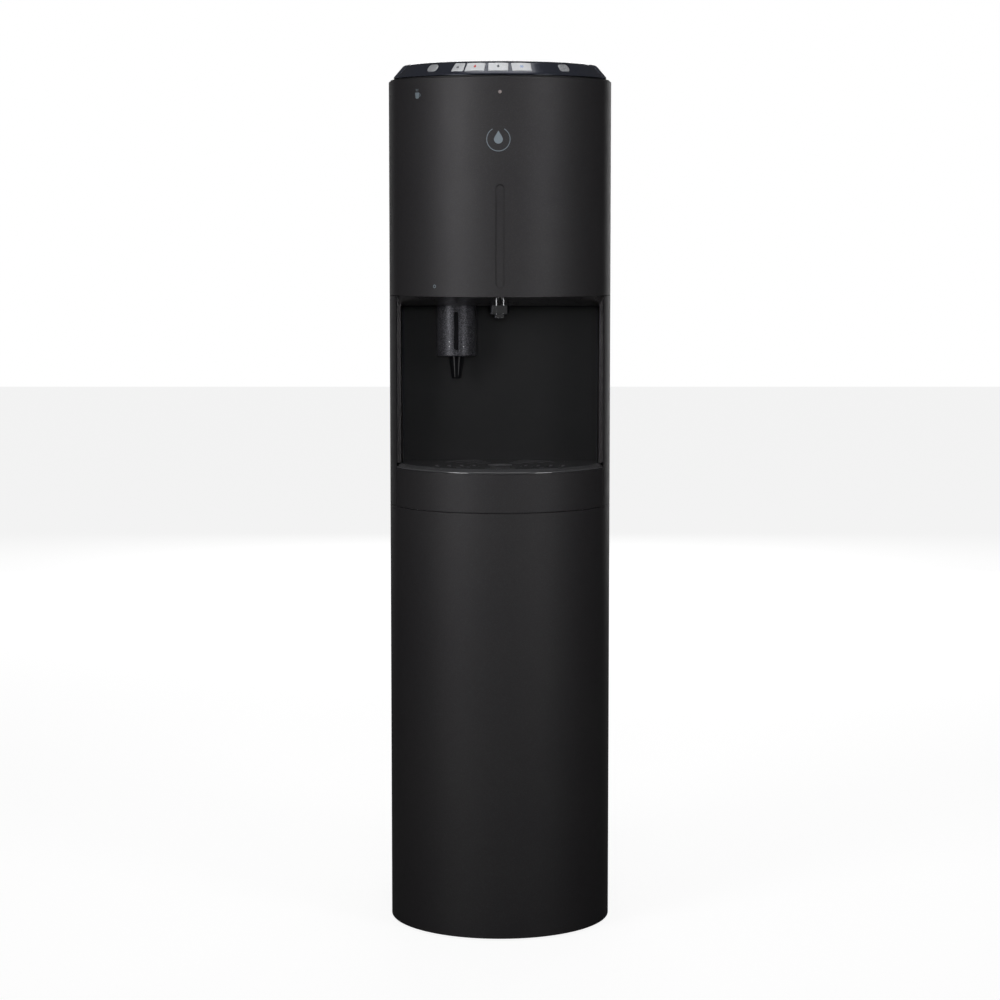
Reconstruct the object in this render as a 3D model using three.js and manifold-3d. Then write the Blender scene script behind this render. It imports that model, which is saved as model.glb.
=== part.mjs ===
// Floor-standing water and capsule-coffee dispenser, in millimetres, +Z up.
// The front faces -Y and the origin is on the floor under the middle of the body.
import * as THREE from "three";
import { ConvexGeometry } from "three/addons/geometries/ConvexGeometry.js";
import { mergeVertices } from "three/addons/utils/BufferGeometryUtils.js";
import Module from "manifold-3d";

const wasm = await Module();
wasm.setup();

// ---------------------------------------------------------------- driving dimensions

// Overall size.
const bodyWidth = 290;
const bodyDepth = 363;
const bodyHeight = 1125;

// Casing.
const skin = 3; // wall of the casing panels
const seam = 0.6; // visible gap between two casing panels
const fit = 0.4; // clearance between pieces that meet and don't move
const runFit = 0.6; // clearance round a piece that slides or turns
const rearCorner = 28;
const floorGap = 2.5; // the casing ends this far above the floor
const footRadius = 17;
const footInset = 46; // foot centre from the outside of the casing
const baseFloorZ = 6;
const baseSheet = 3;
const baseRim = 18;

// Levels, measured down from the top.
const shellTopDrop = 19.8;
const topPlateSheet = 1.2;
const topPlateInset = 2.2;
const headHeight = 17.6;
const nicheTopDrop = 296;
const nicheHeight = 223.5; // tray front edge to the edge of the upper shell
const trayFrontHeight = 50.2;

// Niche.
const columnWidth = 10.4; // front columns beside the niche
const nicheReveal = 16; // inner wall of the niche from the side of the body
const nicheFaceDepth = 100; // bezel plane behind the front of the body
const nicheBackDepth = 156;
const lipDrop = 13; // the bezel's straight inner edge below its curved outer edge
const linerWall = 2.5;
const bezelSheet = 1.2; // the bezel behind its front plane
const bezelLap = 0.2;
const ceilingRise = 2.5; // niche ceiling above the bezel's inner edge

// Front shell details.
const grooveWidth = 11.5;
const grooveLength = 130;
const grooveDepth = 1.6;
const grooveDrop = 219; // groove centre below the top
const sensorRadius = 2.2;
const sensorDrop = 39;

// Control head: the profile is inset and rise, from its lower edge to its flat top.
const headProfile = [
  [1.2, 0],
  [1.9, 2],
  [13.4, 15.6],
  [18, headHeight],
];
const headWall = 2.4;
const headSideInset = 6.8;
const headCorner = 22;
const headDepth = 161.5; // rear face of the control head behind the front of the body
const fasciaEndDepth = 87.5; // the key fascia ends this far behind the front
const fasciaBand = 24; // radial width of the key fascia

// Keys: the place along the arc of the head, the width, and the slant of the left edge.
const keyHeight = 13.4;
const keyDepth = 5.6;
const keyProud = 0.9;
const keyTravel = 1;
const keys = [
  { name: "key_lock", arc: -54, width: 16.4, slant: 3 },
  { name: "key_hot", arc: -31.6, width: 25.6, slant: 2 },
  { name: "key_room", arc: -2.2, width: 25.6, slant: 0 },
  { name: "key_cold", arc: 27.2, width: 25.6, slant: 0 },
];
const buttonWidth = 15.5;
const buttonHeight = 11.5;
const buttons = [
  { name: "button_left", arc: -91.5 },
  { name: "button_right", arc: 86.2 },
];
const keyRise = 9.8; // middle of the keys above the lower edge of the head
const matSheet = 1.2;
const domeHeight = 0.5;
const domeGap = 1; // left between a pressed key and its dome
const domeRadius = 3;
const boardSheet = 1.2;

// Water tank and lid.
const tankSideInset = 33;
const tankRearInset = 23;
const tankGap = 12; // front of the tank behind the control head
const tankDepth = 150;
const tankWall = 2.5;
const tankCorner = 14;
const flangeWidth = 7;
const flangeSheet = 2.6;
const neckRadius = 12;
const neckLength = 12;
const neckWall = 3;
const filterRadius = 28;
const filterHeight = 95;
const filterOffset = 58;
const lidSheet = 2.6;
const hingeInset = 9; // hinge axis in front of the rear face of the body
const hingeRise = 2.8; // hinge axis above the top plate
const knuckleRadius = 2.5;
const pinRadius = 1;
const pinBore = 1.3;
const hingeX = 64;
const knuckleLength = 11;
const earLength = 8;

// Capsule holder and brew head.
const holderX = -57;
const holderBehind = 128; // its axis behind the front of the body
const holderRadius = 25.75;
const holderDrop = 375; // underside below the top
const holderBore = 18.6;
const holderFloor = 13;
const lugReach = 2.4;
const lugHeight = 3.6;
const lugAngle = 44;
const lugCount = 3;
const slotWidth = 5.7;
const slotLength = 50;
const slotDepth = 1.6;
const slotRise = 33; // middle of the slot above the underside
const nozzleTop = 10.9;
const nozzleTip = 6.2;
const nozzleLength = 30;
const nozzleBore = 3.5;
const nozzleStub = 7.4;
const brewRadius = 36;
const brewHeight = 41;
const lipSheet = 2.4;
const needleRadius = 1.6;
const needleLength = 24;

// Tap.
const tapBehind = 118;
const tapCollarRadius = 14;
const tapCollarDrop = 321;
const spoutRadius = 8.25;
const spoutBore = 5;
const spoutDrop = 326;

// Drip tray and grid.
const gridSheet = 5.5;
const gridBevel = 8;
const trayWall = 2;
const trayDepth = 28.4;
const trayInset = 1.2; // side play of the tray in the niche
const slotArcs = [34, 50, 66, 82];
const slotArcWidth = 4.2;
const gridCentreDepth = 70;
const cupRecessRadius = 18.5;
const cupRecessDepth = 1.6;
const drainRadius = 3;

// Inside the body.
const uprightDepth = 40;
const uprightSheet = 2;
const shelfSheet = 2;
const jacketWidth = 196;
const jacketPlay = 10;
const jacketWall = 20;
const coldTankHeight = 170;
const coilRadius = 2.5;
const coilRoom = 9; // radial room for the coil between the cold tank and its jacket
const coilPitch = 34;
const hotTankRadius = 62;
const hotTankHeight = 130;
const hotTankZ = 215;
const compressorRadius = 70;
const compressorHeight = 165;
const compressorRear = 100; // its axis in front of the rear panel
const condenserTube = 3;
const condenserPitch = 38;
const condenserWidth = 180;
const condenserPlay = 12;
const condenserBendSteps = 4;
const condenserFoot = 92;
const pumpSize = 46;
const pumpLength = 90;
const pumpBehind = 78;
const valveWidth = 86;
const valveDepth = 44;
const valveHeight = 34;
const valveRise = 32; // valve block above the niche ceiling
const solenoidRadius = 11;
const solenoidHeight = 38;
const hoseRadius = 4;
const hoseRun = 24; // the hot hose runs up this far inside the side panel
const inletWidth = 28;
const inletHeight = 20;
const inletZ = 60;
const ventWidth = 54;
const ventHeight = 5;
const ventPitch = 14;

// ---------------------------------------------------------------- derived places

const radius = bodyWidth / 2; // of the half-round front
const frontY = -bodyDepth / 2;
const rearY = bodyDepth / 2;
const rearInnerY = rearY - skin;
const arcY = frontY + radius;
const shellTopZ = bodyHeight - shellTopDrop;
const topPlateZ = shellTopZ + 0.3;
const plateTopZ = topPlateZ + topPlateSheet;
const headBaseZ = bodyHeight - headHeight;
const nicheTopZ = bodyHeight - nicheTopDrop;
const trayFrontZ = nicheTopZ - nicheHeight;
const deckZ = trayFrontZ + gridSheet;
const traySeamZ = trayFrontZ - trayFrontHeight - seam / 2;
const columnX = radius - columnWidth;
const nicheX = radius - nicheReveal;
const nicheFaceY = frontY + nicheFaceDepth;
const nicheBackY = frontY + nicheBackDepth;
const lipZ = nicheTopZ - lipDrop;
const ceilingZ = lipZ + ceilingRise;
const trayFloorZ = trayFrontZ - runFit - trayDepth;
const linerFloorZ = trayFloorZ - runFit - linerWall;
const headRearY = frontY + headDepth;
const fasciaEndY = frontY + fasciaEndDepth;
const tankX = radius - tankSideInset;
const tankFrontY = headRearY + tankGap;
const tankRearY = rearY - tankRearInset;
const flangeZ = headBaseZ;
const tankBottomZ = flangeZ - tankDepth;
const tankShelfZ = tankBottomZ - neckLength - fit - shelfSheet;
const holderY = frontY + holderBehind;
const holderZ = bodyHeight - holderDrop;
const tapY = frontY + tapBehind;
const floorZ = baseFloorZ + baseSheet;
const matDepth = keyDepth - keyProud + keyTravel + domeGap + domeHeight;
const boardDepth = matDepth + matSheet + fit;
const far = 2 * Math.max(bodyWidth, bodyDepth, bodyHeight); // reach of a cutting block

// ---------------------------------------------------------------- solids

// Makes a manifold solid of a closed three.js geometry, whichever way its faces wind.
function solid(geometry) {
  const flat = geometry.index ? geometry.toNonIndexed() : geometry;
  const bare = new THREE.BufferGeometry();
  bare.setAttribute("position", flat.getAttribute("position"));
  const merged = mergeVertices(bare, 1e-4);
  const corners = merged.index.array;
  const outward = [];
  const inward = [];
  for (let i = 0; i < corners.length; i += 3) {
    const [a, b, c] = corners.subarray(i, i + 3);
    if (a === b || b === c || a === c) continue;
    outward.push(a, b, c);
    inward.push(a, c, b);
  }
  const vertProperties = merged.attributes.position.array;
  const make = (triangles) => {
    const triVerts = new Uint32Array(triangles);
    return new wasm.Manifold(new wasm.Mesh({ numProp: 3, vertProperties, triVerts }));
  };
  const made = make(outward);
  return made.volume() > 0 ? made : make(inward);
}

// The geometry of a solid, ready for a mesh.
function geometryOf(made) {
  const { vertProperties, triVerts, numProp } = made.getMesh();
  const position = [];
  for (const v of triVerts) {
    position.push(...vertProperties.subarray(v * numProp, v * numProp + 3));
  }
  const geometry = new THREE.BufferGeometry();
  geometry.setAttribute("position", new THREE.Float32BufferAttribute(position, 3));
  geometry.computeVertexNormals();
  return geometry;
}

function block(x0, x1, y0, y1, z0, z1) {
  const box = new THREE.BoxGeometry(x1 - x0, y1 - y0, z1 - z0);
  return solid(box.translate((x0 + x1) / 2, (y0 + y1) / 2, (z0 + z1) / 2));
}

// An upright round bar centred on x, y.
function rod(r, z0, z1, x = 0, y = 0, sides = 24) {
  const bar = new THREE.CylinderGeometry(r, r, z1 - z0, sides).rotateX(Math.PI / 2);
  return solid(bar.translate(x, y, (z0 + z1) / 2));
}

// A round bar along X.
function crossRod(r, x0, x1, y, z, sides = 12) {
  const bar = new THREE.CylinderGeometry(r, r, x1 - x0, sides).rotateZ(Math.PI / 2);
  return solid(bar.translate((x0 + x1) / 2, y, z));
}

// A turned solid: points are [radius, z] and close on the axis or on themselves.
function turned(points, x = 0, y = 0, sides = 24) {
  const profile = points.map(([r, z]) => new THREE.Vector2(r, z));
  const lathe = new THREE.LatheGeometry(profile, sides).rotateX(Math.PI / 2);
  return solid(lathe.translate(x, y, 0));
}

function arcPoints(x, y, r, from, to, steps) {
  const points = [];
  for (let i = 0; i <= steps; i += 1) {
    const a = from + ((to - from) * i) / steps;
    points.push(new THREE.Vector2(x + r * Math.cos(a), y + r * Math.sin(a)));
  }
  return points;
}

function prism(points, z0, z1) {
  const shape = new THREE.Shape(points);
  const made = new THREE.ExtrudeGeometry(shape, { depth: z1 - z0, bevelEnabled: false });
  return solid(made.translate(0, 0, z0));
}

// A prism along Y whose outline is given in x and z.
function prismAlongY(points, y0, y1) {
  const shape = new THREE.Shape(points);
  const made = new THREE.ExtrudeGeometry(shape, { depth: y1 - y0, bevelEnabled: false });
  return solid(made.rotateX(Math.PI / 2).translate(0, y1, 0));
}

function roundedRectangle(x0, x1, y0, y1, r, steps = 3) {
  const quarter = Math.PI / 2;
  return [
    ...arcPoints(x1 - r, y0 + r, r, -quarter, 0, steps),
    ...arcPoints(x1 - r, y1 - r, r, 0, quarter, steps),
    ...arcPoints(x0 + r, y1 - r, r, quarter, 2 * quarter, steps),
    ...arcPoints(x0 + r, y0 + r, r, 2 * quarter, 3 * quarter, steps),
  ];
}

function stadium(cx, cz, width, length) {
  const r = width / 2;
  const half = length / 2 - r;
  return [
    ...arcPoints(cx, cz + half, r, 0, Math.PI, 6),
    ...arcPoints(cx, cz - half, r, Math.PI, 2 * Math.PI, 6),
  ];
}

// A route that meets one of its knots at each equal step, for a tube with sharp straight runs.
class KnotRoute extends THREE.Curve {
  constructor(knots) {
    super();
    this.knots = knots;
  }

  knotAt(u) {
    return Math.round(u * (this.knots.length - 1));
  }

  getPointAt(u) {
    return this.knots[this.knotAt(u)].clone();
  }

  getTangentAt(u) {
    const i = this.knotAt(u);
    const after = this.knots[Math.min(i + 1, this.knots.length - 1)];
    return after.clone().sub(this.knots[Math.max(i - 1, 0)]).normalize();
  }
}

// A round tube along a list of points, with its corners eased.
function tube(points, r, steps, sides = 8, tension = 0.15) {
  const route = points.map(([x, y, z]) => new THREE.Vector3(x, y, z));
  const extrudePath = new THREE.CatmullRomCurve3(route, false, "catmullrom", tension);
  const section = new THREE.Shape(arcPoints(0, 0, r, 0, 2 * Math.PI, sides).slice(1));
  return solid(new THREE.ExtrudeGeometry(section, { extrudePath, steps, bevelEnabled: false }));
}

const group = new THREE.Group();

function material(color, roughness, metalness = 0) {
  return new THREE.MeshStandardMaterial({ color, roughness, metalness });
}

const finish = {
  casing: material(0x3a3a3e, 0.38, 0.5),
  head: material(0x4a4d5a, 0.35, 0.4),
  key: material(0xdcdee2, 0.3),
  button: material(0x9ea1a5, 0.35, 0.5),
  gloss: material(0x101012, 0.08),
  liner: material(0x222224, 0.5),
  holder: material(0x55555c, 0.4, 0.6),
  chrome: material(0xdddddd, 0.06, 1),
  steel: material(0xa8abb0, 0.35, 0.9),
  copper: material(0xb06a40, 0.3, 1),
  clear: material(0x8fa7b5, 0.1),
  foam: material(0xe6e6e2, 0.9),
  rubber: material(0x1b1b1b, 0.8),
  white: material(0xe8e8e6, 0.5),
  board: material(0x1d5c38, 0.6),
  black: material(0x18181a, 0.55),
};

function piece(parent, name, made, look) {
  const mesh = new THREE.Mesh(geometryOf(made), look);
  mesh.name = name;
  parent.add(mesh);
  return mesh;
}

function assembly() {
  const made = new THREE.Group();
  group.add(made);
  return made;
}

// ---------------------------------------------------------------- outlines

// The body in plan, moved inwards by inset: a half-round front and two round rear corners.
function bodyOutline(inset) {
  const cx = radius - rearCorner;
  const cy = rearY - rearCorner;
  const quarter = Math.PI / 2;
  return [
    ...arcPoints(0, arcY, radius - inset, Math.PI, 2 * Math.PI, 32),
    ...arcPoints(cx, cy, rearCorner - inset, 0, quarter, 4),
    ...arcPoints(-cx, cy, rearCorner - inset, quarter, 2 * quarter, 4),
  ];
}

// The control head and lid in plan: the same round front between two straight sides.
function headOutline(inset) {
  const side = radius - headSideInset - inset;
  const end = Math.acos(side / (radius - inset));
  const corner = headCorner - inset;
  const cx = side - corner;
  const cy = rearY - headSideInset - headCorner;
  const quarter = Math.PI / 2;
  return [
    ...arcPoints(0, arcY, radius - inset, Math.PI + end, 2 * Math.PI - end, 24),
    ...arcPoints(cx, cy, corner, 0, quarter, 4),
    ...arcPoints(-cx, cy, corner, quarter, 2 * quarter, 4),
  ];
}

function bodyBlock(inset, z0, z1) {
  return prism(bodyOutline(inset), z0, z1);
}

// The casing wall between two heights.
function band(z0, z1) {
  return bodyBlock(0, z0, z1).subtract(bodyBlock(skin, z0 - 1, z1 + 1));
}

// A solid that narrows evenly from one inset of an outline to another.
function frustum(outline, insetLow, insetHigh, z0, z1) {
  const run = insetHigh - insetLow;
  const made = new THREE.ExtrudeGeometry(new THREE.Shape(outline(insetLow)), {
    depth: 1,
    bevelThickness: z1 - z0,
    bevelSize: run,
    bevelOffset: -run,
    bevelSegments: 1,
  });
  const both = solid(made.translate(0, 0, z0 - 1));
  return both.intersect(block(-far, far, -far, far, z0, z1 + 1));
}

// The whole control head and lid as one solid, moved inwards by a wall.
function headCap(wall) {
  const top = bodyHeight - wall;
  let made = null;
  for (let i = 1; i < headProfile.length; i += 1) {
    const [u0, h0] = headProfile[i - 1];
    const [u1, h1] = headProfile[i];
    const slope = (u1 - u0) / (h1 - h0);
    const shift = wall * Math.hypot(1, slope);
    const low = u0 - h0 * slope + shift;
    const high = low + (top - headBaseZ) * slope;
    const part = frustum(headOutline, low, high, headBaseZ, top);
    made = made ? made.intersect(part) : part;
  }
  return made;
}

// ---------------------------------------------------------------- casing

const casing = assembly();
const behindArc = block(-far, far, arcY + seam / 2, far, -far, far);
const beforeArc = block(-far, far, -far, arcY - seam / 2, -far, far);

function upperShell() {
  const groove = stadium(0, bodyHeight - grooveDrop, grooveWidth, grooveLength);
  const sensorZ = bodyHeight - sensorDrop;
  const eye = arcPoints(0, sensorZ, sensorRadius, 0, 2 * Math.PI, 16).slice(1);
  return band(nicheTopZ, shellTopZ)
    .intersect(beforeArc)
    .subtract(prismAlongY(groove, frontY - 1, frontY + grooveDepth))
    .subtract(prismAlongY(eye, frontY - 1, frontY + 2 * skin));
}
piece(casing, "upper_front_shell", upperShell(), finish.casing);
piece(
  casing,
  "lower_front_panel",
  band(floorGap, traySeamZ - seam / 2).intersect(beforeArc),
  finish.casing,
);

// One side panel with its front column and its rear corner.
function sidePanel(sign) {
  const edge = radius - rearCorner;
  const half = block(...(sign > 0 ? [0, far] : [-far, 0]), -far, far, -far, far);
  const rearOpening = block(-edge, edge, arcY + 1, far, -far, far);
  const wall = band(floorGap, shellTopZ).intersect(behindArc).subtract(rearOpening);
  const middle = block(-columnX, columnX, -far, far, -far, far);
  const column = band(traySeamZ + seam / 2, nicheTopZ - seam)
    .subtract(middle)
    .subtract(block(-far, far, arcY + 1, far, -far, far));
  return wall.add(column).intersect(half);
}
piece(casing, "left_side_panel", sidePanel(-1), finish.casing);
piece(casing, "right_side_panel", sidePanel(1), finish.casing);

const inletX = -70;

function rearPanel() {
  const edge = radius - rearCorner - seam;
  let made = block(-edge, edge, rearInnerY, rearY, floorGap, shellTopZ);
  const inlet = [inletX - inletWidth / 2 - fit, inletX + inletWidth / 2 + fit];
  const inletHalf = inletHeight / 2 + fit;
  made = made.subtract(
    block(...inlet, rearInnerY - 1, rearY + 1, inletZ - inletHalf, inletZ + inletHalf),
  );
  for (const [rows, bottom] of [
    [8, 120],
    [4, nicheTopZ + 30],
  ]) {
    for (let row = 0; row < rows; row += 1) {
      const z = bottom + row * ventPitch;
      for (const x of [-1.15 * ventWidth, 0, 1.15 * ventWidth]) {
        const across = [x - ventWidth / 2, x + ventWidth / 2];
        made = made.subtract(block(...across, rearInnerY - 1, rearY + 1, z, z + ventHeight));
      }
    }
  }
  return made;
}
piece(casing, "rear_panel", rearPanel(), finish.black);

function powerInlet() {
  const [w, h] = [inletWidth / 2, inletHeight / 2];
  const shell = block(inletX - w, inletX + w, rearY - 24, rearY, inletZ - h, inletZ + h);
  const socket = block(
    inletX - w + 3,
    inletX + w - 3,
    rearY - 16,
    rearY + 1,
    inletZ - h + 3,
    inletZ + h - 3,
  );
  let made = shell.subtract(socket);
  for (const [x, z] of [
    [-6, -1.5],
    [6, -1.5],
    [0, 2.5],
  ]) {
    const blade = [inletX + x - 0.8, inletX + x + 0.8, rearY - 17, rearY - 3];
    made = made.add(block(...blade, inletZ + z - 2, inletZ + z + 2));
  }
  return made;
}
piece(casing, "power_inlet", powerInlet(), finish.black);

function basePlate() {
  const outer = bodyBlock(skin + fit, baseFloorZ, baseFloorZ + baseRim);
  return outer.subtract(bodyBlock(skin + fit + linerWall, floorZ, baseFloorZ + baseRim + 1));
}
piece(casing, "base_plate", basePlate(), finish.black);

const footShape = turned([
  [0, 0],
  [footRadius - 1.5, 0],
  [footRadius, 1.5],
  [footRadius - 2, baseFloorZ - fit],
  [0, baseFloorZ - fit],
], 0, 0, 24);
const footFrontX = 62;
for (const [name, x, y] of [
  ["foot_front_left", -footFrontX, frontY + 1.3 * footInset],
  ["foot_front_right", footFrontX, frontY + 1.3 * footInset],
  ["foot_rear_left", footInset - radius, rearY - footInset],
  ["foot_rear_right", radius - footInset, rearY - footInset],
]) {
  piece(casing, name, footShape, finish.rubber).position.set(x, y, 0);
}

function topPlate() {
  const hole = roundedRectangle(
    -tankX - 1.5,
    tankX + 1.5,
    tankFrontY - 1.5,
    tankRearY + 1.5,
    tankCorner + 1.5,
  );
  const plate = bodyBlock(topPlateInset, topPlateZ, plateTopZ);
  return plate.subtract(prism(hole, topPlateZ - 1, plateTopZ + 1));
}
piece(casing, "top_plate", topPlate(), finish.black);

function sensorLens() {
  const r = sensorRadius - fit - 0.1;
  const z = bodyHeight - sensorDrop;
  const stem = prismAlongY(
    arcPoints(0, z, r, 0, 2 * Math.PI, 16).slice(1),
    frontY + 0.4,
    frontY + skin + fit,
  );
  const flange = prismAlongY(
    arcPoints(0, z, r + 2, 0, 2 * Math.PI, 16).slice(1),
    frontY + skin + fit,
    frontY + skin + 2,
  );
  return stem.add(flange);
}
piece(casing, "sensor_lens", sensorLens(), finish.gloss);

// ---------------------------------------------------------------- niche

const niche = assembly();

function nicheLiner() {
  const front = nicheFaceY + linerWall + fit;
  const wallX = nicheX + linerWall;
  const backY = nicheBackY + linerWall;
  const inFront = nicheFaceY - 20;
  const outer = block(-wallX, wallX, front, backY, linerFloorZ, ceilingZ + linerWall);
  const bay = bodyBlock(skin + fit, linerFloorZ, linerFloorZ + linerWall).intersect(
    block(-wallX, wallX, -far, front + 1, -far, far),
  );
  const room = block(
    -nicheX,
    nicheX,
    inFront,
    nicheBackY,
    linerFloorZ + linerWall,
    ceilingZ + 9,
  );
  return outer.subtract(room).add(bay);
}
piece(niche, "niche_liner", nicheLiner(), finish.liner);

// The soffit is ruled from the curved edge of the shell down to the straight inner edge.
function nicheBezel() {
  const r = radius - skin - runFit;
  const x = columnX - fit;
  const end = Math.acos(x / r);
  const innerY = nicheFaceY + bezelSheet;
  const soffit = (lift) => {
    const points = [];
    for (const p of arcPoints(0, arcY, r, Math.PI + end, 2 * Math.PI - end, 32)) {
      points.push(new THREE.Vector3(p.x, p.y, nicheTopZ + lift));
      points.push(new THREE.Vector3(p.x, p.y, nicheTopZ + 20 + lift));
    }
    for (const side of [-1, 1]) {
      points.push(new THREE.Vector3(side * nicheX, innerY, lipZ + lift));
      points.push(new THREE.Vector3(side * x, innerY, nicheTopZ + lift));
      points.push(new THREE.Vector3(side * x, innerY, nicheTopZ + 20 + lift));
    }
    return solid(new ConvexGeometry(points));
  };
  let made = soffit(0).subtract(soffit(linerWall));
  for (const side of [-1, 1]) {
    const [x0, x1] = side > 0 ? [nicheX, x] : [-x, -nicheX];
    made = made.add(block(x0, x1, nicheFaceY - bezelLap, innerY, deckZ + fit, nicheTopZ + 1));
  }
  return made;
}
piece(niche, "niche_bezel", nicheBezel(), finish.liner);

function nicheCeiling() {
  const front = nicheFaceY + linerWall + fit;
  const plate = block(
    fit - nicheX,
    nicheX - fit,
    front,
    nicheBackY - fit,
    ceilingZ,
    ceilingZ + linerWall,
  );
  return plate
    .subtract(rod(holderRadius + runFit, ceilingZ - 1, ceilingZ + 9, holderX, holderY, 32))
    .subtract(rod(tapCollarRadius + fit, ceilingZ - 1, ceilingZ + 9, 0, tapY));
}
piece(niche, "niche_ceiling", nicheCeiling(), finish.liner);

// ---------------------------------------------------------------- tap

const tap = assembly();
const valveZ = ceilingZ + linerWall + valveRise;
const collarZ = bodyHeight - tapCollarDrop;
const spoutZ = bodyHeight - spoutDrop;
piece(
  tap,
  "tap_collar",
  turned([
    [spoutRadius + fit, collarZ],
    [tapCollarRadius - 1, collarZ],
    [tapCollarRadius, collarZ + 1],
    [tapCollarRadius, valveZ - 10],
    [spoutRadius + fit, valveZ - 10],
    [spoutRadius + fit, collarZ],
  ], 0, tapY),
  finish.gloss,
);
piece(
  tap,
  "tap_spout",
  turned([
    [spoutBore, spoutZ],
    [spoutRadius - 0.8, spoutZ],
    [spoutRadius, spoutZ + 0.8],
    [spoutRadius, valveZ - fit],
    [spoutBore, valveZ - fit],
    [spoutBore, spoutZ],
  ], 0, tapY),
  finish.chrome,
);

// ---------------------------------------------------------------- capsule holder and brew head

const brewing = assembly();
const brewZ = ceilingZ + linerWall + fit;
const lugZ = brewZ + lipSheet + fit;
const holderTopZ = lugZ + lugHeight;
const socketZ = holderTopZ + fit;
const lugRadius = holderRadius + lugReach;

// A wedge of the given angle round the holder's axis, as a cutting solid.
function wedge(middle, angle, z0, z1) {
  const half = THREE.MathUtils.degToRad(angle / 2);
  const at = THREE.MathUtils.degToRad(middle);
  const rim = arcPoints(holderX, holderY, lugRadius + 20, at - half, at + half, 8);
  return prism([new THREE.Vector2(holderX, holderY), ...rim], z0, z1);
}

function capsuleHolder() {
  const outer = turned([
    [0, holderZ],
    [holderRadius - 1.2, holderZ],
    [holderRadius, holderZ + 1.2],
    [holderRadius, holderTopZ],
    [0, holderTopZ],
  ], holderX, holderY, 40);
  const cup = turned([
    [0, holderZ + holderFloor],
    [holderBore - 4, holderZ + holderFloor],
    [holderBore, holderZ + holderFloor + 26],
    [holderBore, holderTopZ + 1],
    [0, holderTopZ + 1],
  ], holderX, holderY);
  const outlet = rod(nozzleStub + fit, holderZ - 1, holderZ + holderFloor + 1, holderX, holderY);
  const slot = stadium(holderX, holderZ + slotRise, slotWidth, slotLength);
  const front = holderY - holderRadius;
  let made = outer
    .subtract(cup)
    .subtract(outlet)
    .subtract(prismAlongY(slot, front - 1, front + slotDepth));
  const ring = rod(lugRadius, lugZ, holderTopZ, holderX, holderY, 32).subtract(
    rod(holderRadius - 1, lugZ - 1, holderTopZ + 1, holderX, holderY, 32),
  );
  for (let i = 0; i < lugCount; i += 1) {
    const at = 90 + (i * 360) / lugCount;
    made = made.add(ring.intersect(wedge(at, lugAngle, lugZ - 1, holderTopZ + 1)));
  }
  return made;
}
piece(brewing, "capsule_holder", capsuleHolder(), finish.holder);

piece(
  brewing,
  "holder_nozzle",
  turned([
    [nozzleBore, holderZ - nozzleLength],
    [nozzleTip - 0.5, holderZ - nozzleLength],
    [nozzleTip, holderZ - nozzleLength + 0.5],
    [nozzleTop, holderZ - fit],
    [nozzleStub, holderZ - fit],
    [nozzleStub, holderZ + holderFloor - 2],
    [nozzleBore, holderZ + holderFloor - 2],
    [nozzleBore, holderZ - nozzleLength],
  ], holderX, holderY),
  finish.gloss,
);

const sealInner = 19.4;
const sealOuter = 23.4;
const sealHeight = 3;

function brewHead() {
  const bore = lugRadius + runFit;
  let made = rod(brewRadius, brewZ, brewZ + brewHeight, holderX, holderY, 32).subtract(
    rod(bore, lugZ - fit, socketZ, holderX, holderY, 32),
  );
  const mouth = holderRadius + runFit;
  made = made.subtract(rod(mouth, brewZ - 1, lugZ, holderX, holderY, 32));
  const gateRing = rod(bore, brewZ - 1, lugZ, holderX, holderY, 32);
  for (let i = 0; i < lugCount; i += 1) {
    const at = 90 + ((i + 0.5) * 360) / lugCount;
    made = made.subtract(gateRing.intersect(wedge(at, lugAngle + 10, brewZ - 2, lugZ + 1)));
  }
  const groove = rod(sealOuter + fit, socketZ - 1, socketZ + sealHeight - 1, holderX, holderY)
    .subtract(rod(sealInner - fit, socketZ - 2, socketZ + sealHeight, holderX, holderY));
  const inlet = rod(needleRadius + fit, socketZ - 1, brewZ + brewHeight + 1, holderX, holderY);
  return made.subtract(groove).subtract(inlet);
}
piece(brewing, "brew_head", brewHead(), finish.white);
piece(
  brewing,
  "brew_seal",
  rod(sealOuter, socketZ + 0.1, socketZ + sealHeight - 1 - fit, holderX, holderY).subtract(
    rod(sealInner, socketZ, socketZ + sealHeight, holderX, holderY),
  ),
  finish.rubber,
);
piece(
  brewing,
  "piercing_needle",
  turned([
    [0, socketZ - needleLength],
    [needleRadius, socketZ - needleLength + 6],
    [needleRadius, brewZ + brewHeight + 6],
    [0, brewZ + brewHeight + 6],
  ], holderX, holderY, 16),
  finish.steel,
);

// ---------------------------------------------------------------- drip tray

const tray = assembly();
const trayBackY = nicheBackY - runFit;
const gridBreakY = nicheFaceY - bezelLap - runFit;

function dripTray() {
  const x = nicheX - trayInset;
  const cut = (inset, z0, z1) =>
    bodyBlock(skin + fit + inset, z0, z1).intersect(
      block(inset - x, x - inset, -far, trayBackY - inset, -far, far),
    );
  const rimZ = trayFrontZ - runFit;
  return cut(0, trayFloorZ, rimZ).subtract(cut(trayWall, trayFloorZ + trayWall, rimZ + 1));
}
piece(tray, "drip_tray", dripTray(), finish.black);

function trayFront() {
  const x = columnX - fit;
  const between = block(-x, x, -far, nicheFaceY, -far, far);
  return band(traySeamZ + seam / 2, trayFrontZ - fit).intersect(between);
}
piece(tray, "tray_front", trayFront(), finish.casing);

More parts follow.
